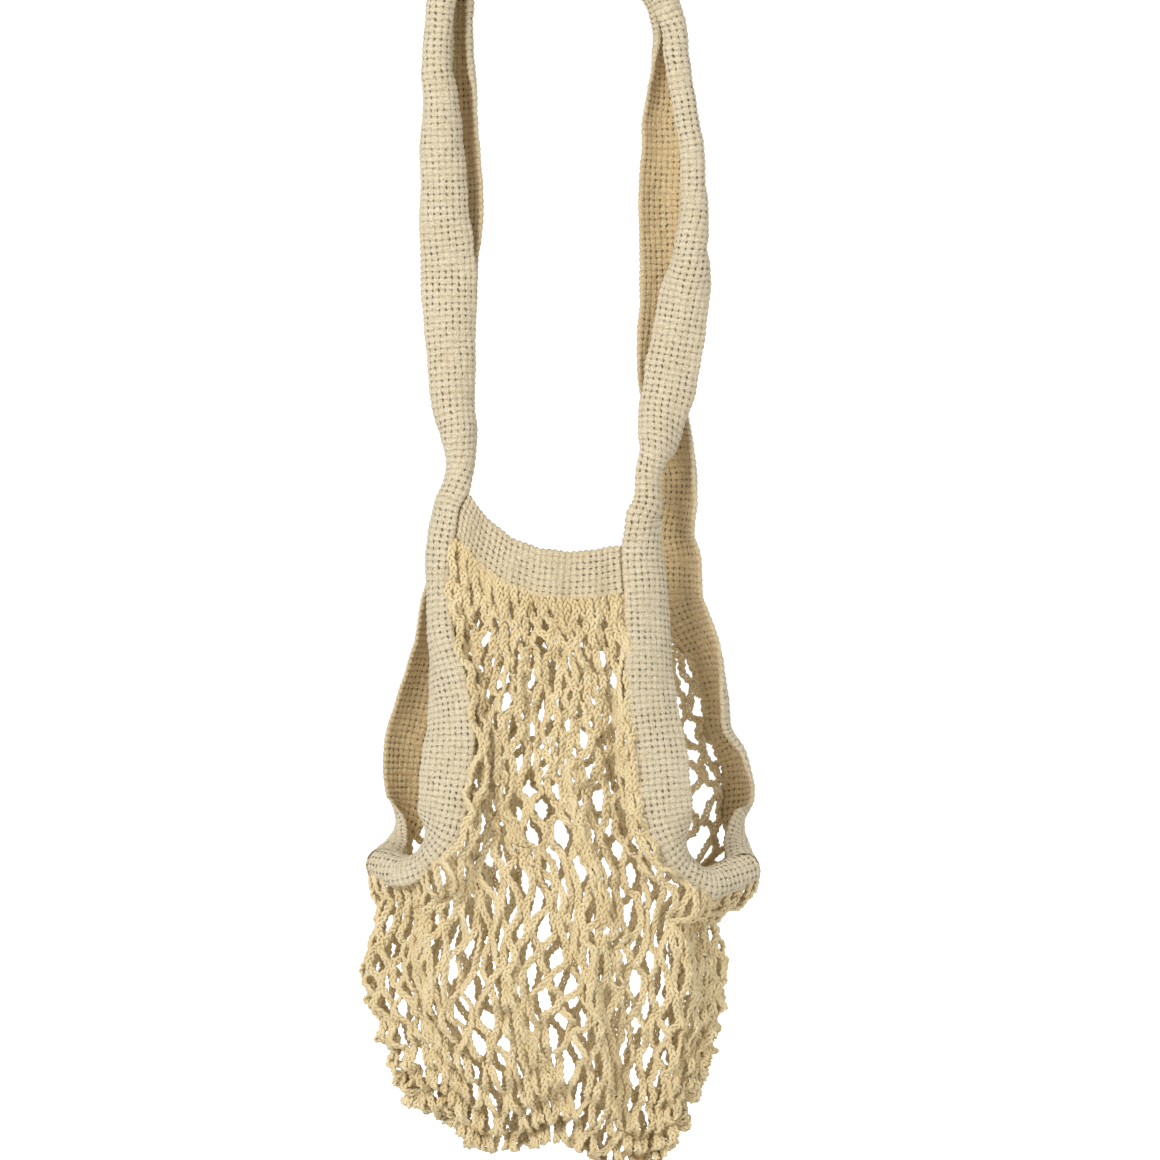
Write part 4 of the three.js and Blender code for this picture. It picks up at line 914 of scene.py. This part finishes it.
def plait(name, first, last):
    """One piece of the cords first to last: those of the openings' bottoms and those of the
    bands have different lengths, so they are worked out apart and joined."""
    chosen = np.arange(first, last)
    short = at_opening[chosen, 0]
    parts = [yarn_mesh(group, samples) for group, samples in
             ((chosen[short], foot_sample + 1), (chosen[~short], len(cloth))) if len(group)]
    start = np.cumsum([0] + [len(part[0]) for part in parts])
    quads = np.concatenate([part[1] + shift for part, shift in zip(parts, start)])
    points, _, round_yarn, along_yarn = (np.concatenate(column) for column in zip(*parts))
    return quad_object(name, points, quads, round_yarn, along_yarn)


net_pieces = []
GROUPS = ("right", "middle_right", "middle_left", "left")
for group, name in enumerate(GROUPS):
    first, last = (n * PANEL_CORDS // len(GROUPS) for n in (group, group + 1))
    net_pieces.append(plait(f"net_cords_{name}", first, last))

# %% [markdown]
# ## Materials
# All pieces are undyed cotton. On the knitted tape and bands the stitch numbers place an eyelet
# at each crossing and a groove between the loops, both painted darker as shade; the low grain and
# the side that faces the bag's inside get painted shade too. An image would do it too, but blurs
# close up and would need a photo of plain cloth. On the net the yarns are shapes already, so
# their material only varies the colour and adds the fibres.

# %% Shader maths
class Socket:
    """A shader value. + - * / ** on it, and a number - or * it, add a Math node."""

    def __init__(self, tree, socket):
        self.tree, self.socket = tree, socket

    def __add__(self, other):
        return self.tree.math("ADD", self, other)

    def __sub__(self, other):
        return self.tree.math("SUBTRACT", self, other)

    def __rsub__(self, other):
        return self.tree.math("SUBTRACT", other, self)

    def __mul__(self, other):
        return self.tree.math("MULTIPLY", self, other)

    def __rmul__(self, other):
        return self.tree.math("MULTIPLY", other, self)

    def __truediv__(self, other):
        return self.tree.math("DIVIDE", self, other)

    def __pow__(self, other):
        return self.tree.math("POWER", self, other)


class Tree:
    """The nodes of a material or of the world, round its last shader."""

    def __init__(self, owner, shader="Principled BSDF"):
        owner.use_nodes = True
        self.owner, self.links = owner, owner.node_tree.links
        self.nodes = owner.node_tree.nodes
        self.shader = self.nodes[shader]

    def add(self, kind, settings, values, output=0):
        """Node of a kind with settings, its inputs by place or by name; gives one output."""
        node = self.nodes.new(kind)
        for key, value in settings.items():
            setattr(node, key, value)
        pairs = values.items() if isinstance(values, dict) else enumerate(values)
        for key, value in pairs:
            self.link(value, node.inputs[key])
        return Socket(self, node.outputs[output])

    def link(self, value, target):
        if isinstance(value, Socket):
            self.links.new(value.socket, target)
        else:
            target.default_value = value

    def set(self, name, value):
        self.link(value, self.shader.inputs[name])

    def math(self, operation, *values):
        return self.add("ShaderNodeMath", {"operation": operation}, values)

    def mix_colour(self, share, a, b):
        return self.add("ShaderNodeMix", {"data_type": "RGBA"}, {0: share, 6: a, 7: b}, 2)

    def noise(self, scale, detail=2.0):
        place = self.add("ShaderNodeTexCoord", {}, (), "Object")
        return self.add("ShaderNodeTexNoise", {}, {"Vector": place, "Scale": scale, "Detail": detail})

    def fades(self, value, full, none):
        """1 up to full, 0 from none on."""
        return self.add("ShaderNodeMapRange", {"interpolation_type": "SMOOTHSTEP"},
                        (value, full, none, 1.0, 0.0))

    def off_whole(self, value):
        """Distance to the nearest whole number, 0 to 0.5."""
        return self.math("ABSOLUTE", self.math("FRACT", value + 0.5) - 0.5)

    def matt_cotton(self, height, strength, distance):
        """Bump and sheen of cotton yarn."""
        self.set("Normal", self.add("ShaderNodeBump", {}, {"Height": height, "Strength": strength,
                                                            "Distance": distance}))
        self.set("Sheen Weight", 0.25)
        self.set("Sheen Roughness", 0.5)


def linear(*colour):
    """Linear colour, with alpha, of an sRGB colour from 0 to 255."""
    c = np.array(colour) / 255
    c = np.where(c > 0.04045, ((c + 0.055) / 1.055) ** 2.4, c / 12.92)
    return (*c.tolist(), 1.0)


print("linear light of a mid grey:", round(linear(128, 128, 128)[0], 3))

# %% Knitted cotton
GRAIN_SCALE, WANDER_SCALE, PATCH_SCALE, TINT_SCALE = 1300.0, 520.0, 130.0, 90.0
ROW_WANDER, COLUMN_WANDER = 0.75, 0.6
EYELET_WIDE, EYELET_HIGH = 0.13, 0.22
LAST_EYELET, SELVEDGE_START = 3.4, 3.9


def knitted(name, light, shade, groove_shade, hole_shade, inner_shade):
    """Rows and columns of loops, with painted shade in a groove between them, in an eyelet at each
    crossing, on the low grain and on the side that faces the bag's inside. The stitch numbers
    wander a little, and the eyelets are patchy."""
    tree = Tree(bpy.data.materials.new(name))
    uv = tree.add("ShaderNodeUVMap", {"uv_map": "stitches"}, ())
    grain = tree.noise(GRAIN_SCALE, 3.0)
    wander = tree.noise(WANDER_SCALE, 3.0) - 0.5
    u = tree.add("ShaderNodeSeparateXYZ", {}, (uv,), "X")
    v = tree.add("ShaderNodeSeparateXYZ", {}, (uv,), "Y")
    du = tree.off_whole(u + wander * COLUMN_WANDER)
    dv = tree.off_whole(v + wander * ROW_WANDER)
    off_middle = tree.math("ABSOLUTE", u - TAPE_STITCHES / 2)
    within = tree.fades(off_middle, LAST_EYELET, SELVEDGE_START)
    patchy = tree.fades(tree.noise(PATCH_SCALE), 0.62, 0.40)
    # Eyelets: painted shade, a dark spot where a hole would show the shaded inside of the bag.
    crossing = tree.fades((du / EYELET_WIDE) ** 2 + (dv / EYELET_HIGH) ** 2, 0.2, 1.6)
    eyelet = crossing * within * (1 - patchy * 0.85)
    row_line, column_line = tree.fades(dv, 0.02, 0.20), tree.fades(du, 0.02, 0.17)
    lines = tree.math("MAXIMUM", row_line * 0.8, column_line * 0.4)
    inner = tree.add("ShaderNodeAttribute", {"attribute_name": "inner"}, (), "Fac")
    colour = tree.mix_colour(tree.noise(TINT_SCALE, 4.0), light, shade)
    # Painted shade: the side that faces the bag's inside is mixed towards a darker, warmer colour.
    colour = tree.mix_colour(inner * 0.8, colour, inner_shade)
    # Painted shade: where the grain noise is low, as the bump is there, the colour goes towards the
    # groove colour.
    colour = tree.mix_colour(tree.fades(grain, 0.38, 0.58) * 0.45, colour, groove_shade)
    # Painted shade along the row and column grooves between the loops.
    colour = tree.mix_colour(lines * 0.33, colour, groove_shade)
    # Painted shade in the eyelets.
    tree.set("Base Color", tree.mix_colour(eyelet, colour, hole_shade))
    tree.set("Roughness", 0.9)
    tree.matt_cotton(1.5 * grain - lines * 0.5 - eyelet * 1.5, strength=0.9, distance=0.0008)
    return tree.owner


# Colours of painted shade: in the grooves, in the eyelets and on the side that faces the bag's inside.
GROOVE_SHADE, HOLE_SHADE, INNER_SHADE = linear(180, 155, 108), linear(118, 94, 57), linear(232, 203, 148)
tape_cotton = knitted("tape cotton", linear(238, 226, 198), linear(224, 209, 175),
                      GROOVE_SHADE, HOLE_SHADE, INNER_SHADE)
band_cotton = knitted("band cotton", linear(235, 221, 190), linear(220, 203, 165),
                      GROOVE_SHADE, HOLE_SHADE, INNER_SHADE)
print("nodes in the tape's material:", len(tape_cotton.node_tree.nodes))


# %% Net cotton
def yarn_material(name, light, shade):
    """Cotton of a yarn: slow changes of tint, and fibres."""
    tree = Tree(bpy.data.materials.new(name))
    uneven = tree.add("ShaderNodeMapRange", {}, (tree.noise(120.0, 3.0), 0.3, 0.7, 0.0, 1.0))
    fibre = tree.noise(1500.0, 2.0)
    tree.set("Base Color", tree.mix_colour(uneven * 0.6 + fibre * 0.4, light, shade))
    tree.set("Roughness", 0.92)
    tree.matt_cotton(fibre, strength=0.4, distance=0.0004)
    return tree.owner


net_cotton = yarn_material("net cotton", linear(236, 219, 178), linear(214, 190, 138))
print("nodes in the net's material:", len(net_cotton.node_tree.nodes))

# %% Pieces, their bodies and slots, and the cut sizes of the cloth
def dress(piece, node, material):
    """Gives a piece its material, hangs it on the root body and hides the solid that it stands for."""
    piece.data.materials.append(material)
    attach(piece, "root")
    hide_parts(node)


dress(front_handle, "front_tape", tape_cotton)
dress(rear_handle, "rear_tape", tape_cotton)
dress(front_band, "front_top_band", band_cotton)
dress(rear_band, "rear_top_band", band_cotton)
for piece in net_pieces:
    dress(piece, "net_body", net_cotton)
for piece, wide, length in ((front_handle, TAPE_WIDTH, front_length),
                            (rear_handle, TAPE_WIDTH, rear_length),
                            (front_band, BAND_HEIGHT, front_band_length),
                            (rear_band, BAND_HEIGHT, rear_band_length)):
    wide * MM
    length * MM
    print(f"{piece.name}: cut {wide} x {length:.0f} mm")

# %% [markdown]
# ## Floor and light
# A plain pale floor lies below the bag. A photo studio lights cloth softly from all sides, which
# many lamps could do. Here a bright surround does it, and one large lamp at the upper left in
# front keeps a little shade in the folds. A weak lamp fills in from the right, and another
# lights the back. The floor and the backdrop are white where they are seen directly.

# %% Floor
FLOOR_LEVEL, FLOOR_RADIUS, FLOOR_CORNERS = -0.56, 14.0, 96
around = np.linspace(0, 2 * np.pi, FLOOR_CORNERS, endpoint=False)
floor_points = np.stack([FLOOR_RADIUS * np.cos(around), FLOOR_RADIUS * np.sin(around),
                         0 * around + FLOOR_LEVEL], -1)
floor_mesh = bpy.data.meshes.new("floor")
floor_mesh.from_pydata(floor_points.tolist(), [], [list(range(len(around)))])
floor = add_object("floor", floor_mesh)
pale = Tree(bpy.data.materials.new("pale floor"))
pale.set("Base Color", (0.9, 0.9, 0.9, 1))
pale.set("Roughness", 0.9)
seen_directly = pale.add("ShaderNodeLightPath", {}, (), "Is Camera Ray")
pale.set("Emission Color", pale.mix_colour(seen_directly, (0, 0, 0, 1), (1, 1, 1, 1)))
pale.set("Emission Strength", 0.7)
floor_mesh.materials.append(pale.owner)
print(f"floor {-FLOOR_LEVEL} m below the hanging point")

# %% Light
LIT_POINT = Vector((0, 0, -0.25))
SURROUND, BACKDROP = 0.57, 1.15


def lamp(name, place, size, power):
    """Square area lamp that looks at the middle of the bag."""
    light = bpy.data.lights.new(name, "AREA")
    light.size, light.energy = size, power
    lamp_object = add_object(name, light)
    lamp_object.location = place
    way = LIT_POINT - Vector(place)
    lamp_object.rotation_euler = way.to_track_quat("-Z", "Y").to_euler()


lamp("key", (-1.5, -2.3, 1.1), 1.1, 55)
lamp("fill", (2.0, -1.8, 0.2), 1.6, 11)
lamp("back", (1.0, 2.6, 0.7), 1.8, 24)
bpy.context.scene.world = bpy.data.worlds.new("surround")
sky = Tree(bpy.context.scene.world, "Background")
seen = sky.add("ShaderNodeLightPath", {}, (), "Is Camera Ray")
sky.set("Color", (1, 1, 1, 1))
sky.set("Strength", sky.add("ShaderNodeMapRange", {}, (seen, 0.0, 1.0, SURROUND, BACKDROP)))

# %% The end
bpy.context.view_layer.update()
